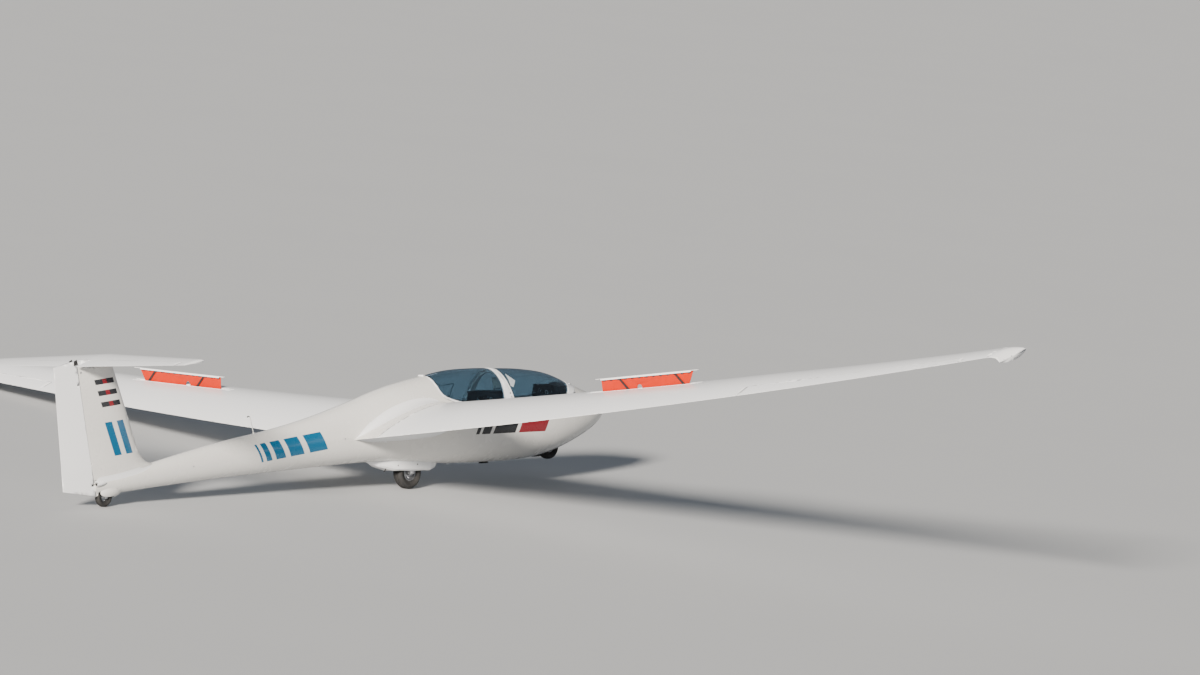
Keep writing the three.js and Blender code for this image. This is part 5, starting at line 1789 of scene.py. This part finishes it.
class SAILPLANE_OT_canopy_fittings(bpy.types.Operator):
    """Makes the canopies' sliding windows, flap and latches"""

    bl_idname = "sailplane.canopy_fittings"
    bl_label = "Canopy fittings"

    def execute(self, context):
        vent_window("front_vent_window", "front_canopy", -1, (1.18, 0.16), (1.38, 0.3))
        vent_window("rear_vent_window", "rear_canopy", -1, (2.12, 0.24), (2.32, 0.37))
        canopy_flap("front_canopy_flap", "front_canopy", 1,
                    ((1.613, 0.347), (1.692, 0.43), (1.711, 0.283), (1.744, 0.3)))
        for seat, places in LATCHES.items():
            parts, knobs = [], []
            for x, z in places:
                for side in (-1, 1):
                    wall = skin_point(x, z + 0.012, side, -0.024)
                    into = Vector((0, -side, 0))
                    tip = wall + into * 0.012 + Vector((0.05, 0, 0.004))
                    parts += [turned(LATCH_BASE, wall, into, 24), bar(wall + into * 0.006, tip, 0.0045, 14)]
                    knobs.append(turned(LATCH_KNOB, tip, (1, 0, 0), 20))
            fitted(f"{seat}_latches", parts, "steel", body=f"{seat}_canopy", soft=45)
            fitted(f"{seat}_latch_knobs", knobs, "panel_black", "red_knob", f"{seat}_canopy", soft=60)
        return {"FINISHED"}


# The side of a bracket at the rudder's head: x, z.
BRACKET = ((8.02, 1.268), (8.082, 1.262), (8.078, 1.31), (8.034, 1.322))


def teardrop(side, x=7.77, z=0.008, length=0.155, wide=0.026, high=0.03):
    """A cable exit's fairing: rounded ahead, open aft."""
    def place(u, v):
        grow = math.sin(0.5 * math.pi * u ** 0.7)
        angle = math.pi * v
        return (skin_point(x + u * length, z - wide * grow * math.cos(angle), side)
                + Vector((0, side * high * grow * math.sin(angle), 0)))
    return grid_sheet(place, 18, 16, 0.0024, -1)


class SAILPLANE_OT_small_fittings(bpy.types.Operator):
    """Makes the probe, tow rings, screws, static ports, hinge brackets and fairings"""

    bl_idname = "sailplane.small_fittings"
    bl_label = "Small fittings"

    def execute(self, context):
        path = spline_points([(5.518, 0, 0.236), (5.536, 0, 0.33), (5.552, 0, 0.412), (5.572, 0, 0.431),
                              (5.589, 0, 0.428)], 8)
        foot = turned([(0, 0.016), (0.006, 0.016), (0.009, 0.012), (0.0095, 0.004), (0.014, 0.002),
                       (0.014, -0.004), (0, -0.004)], (5.519, 0, skin_top(5.519)), (0.1, 0, 1), 24)
        fitted("probe_mast", [swept(path[:22], 0.005, 4), foot], "steel", "white_plastic",
               node="energy_probe", soft=50)
        plug = bar(path[-1] - Vector((0.003, 0, 0)), path[-1] + Vector((0.004, 0, -0.001)), 0.0072, 20)
        fitted("probe_tip", [swept(path[21:], 0.0058, 4), plug], "steel", "seal_rubber", soft=50)

        for name, x, bottom in (("nose", 0.64, -0.472), ("belly", 2.56, -0.462)):
            materials = frame["nodes"][f"{name}_tow_release"].data.materials
            materials.clear()
            materials.append(finish_named("steel"))
            spot = Vector((x, 0, bottom - 0.0005))
            jaw = turned([(0.014, 0.0006), (0.02, 0.003), (0.022, -0.004), (0.014, -0.004)], spot, (0, 0, -1))
            beak = swept([spot + Vector((0.016 - 0.004 * i, 0, -0.0036 * math.sin(math.pi * i / 8)))
                          for i in range(9)], 0.0035)
            fitted(f"{name}_tow_jaw", [smooth(jaw, 40), smooth(beak, 60)], "steel")

        screws = [screw_head((x, side * half, z), (0, side, 0), 0.0085, 0.0022)
                  for x, half, z in ((2.89, 0.0895, -0.4), (3.16, 0.117, -0.39), (3.46, 0.1125, -0.365))
                  for side in (-1, 1)]
        fitted("canoe_screws", screws, "steel", "panel_black", soft=50)
        drain = spline_points([(3.6, 0.06, -0.36), (3.615, 0.062, -0.392), (3.64, 0.062, -0.412)], 6)
        fitted("drain_tube", [swept(drain, 0.006)], "steel", "seal_rubber", soft=50)

        ports, drops, mouths = [], [], []
        for side in (-1, 1):
            out = (0, side, 0)
            for x, z in ((4.35, 0.04), (6.55, 0.02)):
                ports.append(turned([(0.0015, 0.0002), (0.003, 0.0012), (0.008, 0.0008), (0.009, -0.002),
                                     (0.0015, -0.002)], skin_point(x, z, side), skin_normal(x, z, side), 24))
            ports.append(turned([(0.003, 0.0012), (0.0095, 0.0016), (0.0125, 0.0006), (0.0125, -0.002),
                                 (0.003, -0.002)], fin_point(7.99, 1.18, side), out, 28))
            ports.append(turned([(0, 0.0008), (0.005, 0.0006), (0.006, -0.001), (0, -0.001)],
                                fin_point(7.836, 0.158, side), out, 20))
            drops.append(teardrop(side))
            spot = skin_point(7.924, 0.01, side, 0.011)
            mouths += [bar(spot - Vector((0.004, 0, 0)), spot, 0.0205, 20),
                       bar(spot, spot + Vector((0.03, -side * 0.004, 0)), 0.0022, 10, 0.0004)]
        fitted("ports_and_locks", ports, "steel", soft=40)
        fitted("cable_fairings", drops, "gelcoat", soft=50)
        fitted("cable_mouths", mouths, "steel", "seal_rubber")
        pitot = turned([(0.006, 0.003), (0.009, 0.0035), (0.013, 0.0), (0.014, -0.006), (0.006, -0.006)],
                       (0.0005, 0, -0.145), (-1, 0, 0), 28)
        fitted("nose_pitot", [pitot], "steel", soft=40)
        brackets = []
        for side in (-1, 1):
            near, far = side * 0.0345, side * 0.0375
            brackets += [outline_plate([(x, near, z) for x, z in BRACKET], (0, far - near, 0), 0.0008),
                         screw_head((8.05, side * 0.0378, 1.29), (0, side, 0), 0.005, 0.002)]
        fitted("rudder_head_brackets", brackets, "steel", "seal_rubber", "rudder")
        return {"FINISHED"}


# The studio, in the world's frame, and the camera, in the sailplane's.
FLOOR_RADIUS = 170
FLOOR_INSET = 60
WORLD_COLOUR = (0.72, 0.8, 0.92, 1)
WORLD_STRENGTH = 0.22
# Lamps: name, where it stands as seen from the sailplane, how wide it looks, strength, colour.
LAMPS = (
    ("key_light", (22, 8.5, 10), 9, 9.5, (1, 0.93, 0.84)),
    ("fill_light", (6, 24, 9), 40, 0.08, (0.9, 0.95, 1)),
    ("far_light", (-10, -22, 14), 40, 0.25, (0.86, 0.92, 1)),
)
CAMERA_PLACE = (53.2227, 48.0059, 6.6606)
CAMERA_ANGLES = (42.0, 4.8, -4.3)  # azimuth, elevation, roll
LENS = 191.22
SENSOR = 36


def camera_turn():
    azimuth, elevation, roll = (math.radians(a) for a in CAMERA_ANGLES)
    back = Vector((math.cos(azimuth) * math.cos(elevation), math.sin(azimuth) * math.cos(elevation),
                   math.sin(elevation)))
    right = Vector((0, 0, 1)).cross(back).normalized()
    up = back.cross(right)
    tilted_right = right * math.cos(roll) + up * math.sin(roll)
    tilted_up = up * math.cos(roll) - right * math.sin(roll)
    return Matrix((tilted_right, tilted_up, back)).transposed().to_4x4()


class SAILPLANE_OT_stage(bpy.types.Operator):
    """Makes the floor, the studio lights and the camera"""

    bl_idname = "sailplane.stage"
    bl_label = "Stage"

    def execute(self, context):
        scene = context.scene
        floor = added(bpy.ops.mesh.primitive_circle_add, vertices=96, radius=FLOOR_RADIUS, fill_type="NGON",
                      location=(0, 0, 0))
        floor.name = "studio_floor"
        with editing(floor):
            bpy.ops.mesh.inset(thickness=FLOOR_INSET)
        floor.data.materials.append(finish_named("studio_floor"))

        scene.world = bpy.data.worlds.new("studio")
        scene.world.use_nodes = True
        background = scene.world.node_tree.nodes["Background"]
        background.inputs["Color"].default_value = WORLD_COLOUR
        background.inputs["Strength"].default_value = WORLD_STRENGTH
        for name, place, width, strength, colour in LAMPS:
            light = bpy.data.lights.new(name, "SUN")
            light.angle = math.radians(width)
            light.energy = strength
            light.color = colour
            lamp = bpy.data.objects.new(name, light)
            scene.collection.objects.link(lamp)
            lamp.location = place
            lamp.rotation_euler = Vector(place).to_track_quat("Z", "Y").to_euler()

        lens = bpy.data.cameras.new("photo_camera")
        lens.sensor_width = SENSOR
        lens.lens = LENS
        lens.clip_end = 600
        camera = bpy.data.objects.new("photo_camera", lens)
        scene.collection.objects.link(camera)
        camera.matrix_world = PARKED @ Matrix.Translation(CAMERA_PLACE) @ camera_turn()
        scene.camera = camera
        return {"FINISHED"}


class SAILPLANE_PT_panel(bpy.types.Panel):
    """Lists the sailplane's operators and settings"""

    bl_idname = "SAILPLANE_PT_panel"
    bl_label = "Training Sailplane"
    bl_space_type = "VIEW_3D"
    bl_region_type = "UI"
    bl_category = "Sailplane"

    def draw(self, context):
        for operator in OPERATORS:
            self.layout.operator(operator.bl_idname)
        for name in SailplaneSettings.__annotations__:
            self.layout.prop(context.scene.sailplane, name)


OPERATORS = (
    SAILPLANE_OT_stage,
    SAILPLANE_OT_pod,
    SAILPLANE_OT_wings,
    SAILPLANE_OT_tail,
    SAILPLANE_OT_canopies,
    SAILPLANE_OT_canopy_fittings,
    SAILPLANE_OT_seats,
    SAILPLANE_OT_harness,
    SAILPLANE_OT_cockpit,
    SAILPLANE_OT_wheels,
    SAILPLANE_OT_airbrakes,
    SAILPLANE_OT_small_fittings,
)
CLASSES = (SailplaneSettings, *OPERATORS, SAILPLANE_PT_panel)


def register():
    for made in CLASSES:
        bpy.utils.register_class(made)
    bpy.types.Scene.sailplane = bpy.props.PointerProperty(type=SailplaneSettings)


def unregister():
    del bpy.types.Scene.sailplane
    for made in reversed(CLASSES):
        bpy.utils.unregister_class(made)


def main():
    register()
    for operator in OPERATORS:
        group, name = operator.bl_idname.split(".")
        getattr(getattr(bpy.ops, group), name)()
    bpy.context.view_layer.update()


if __name__ == "__main__":
    main()
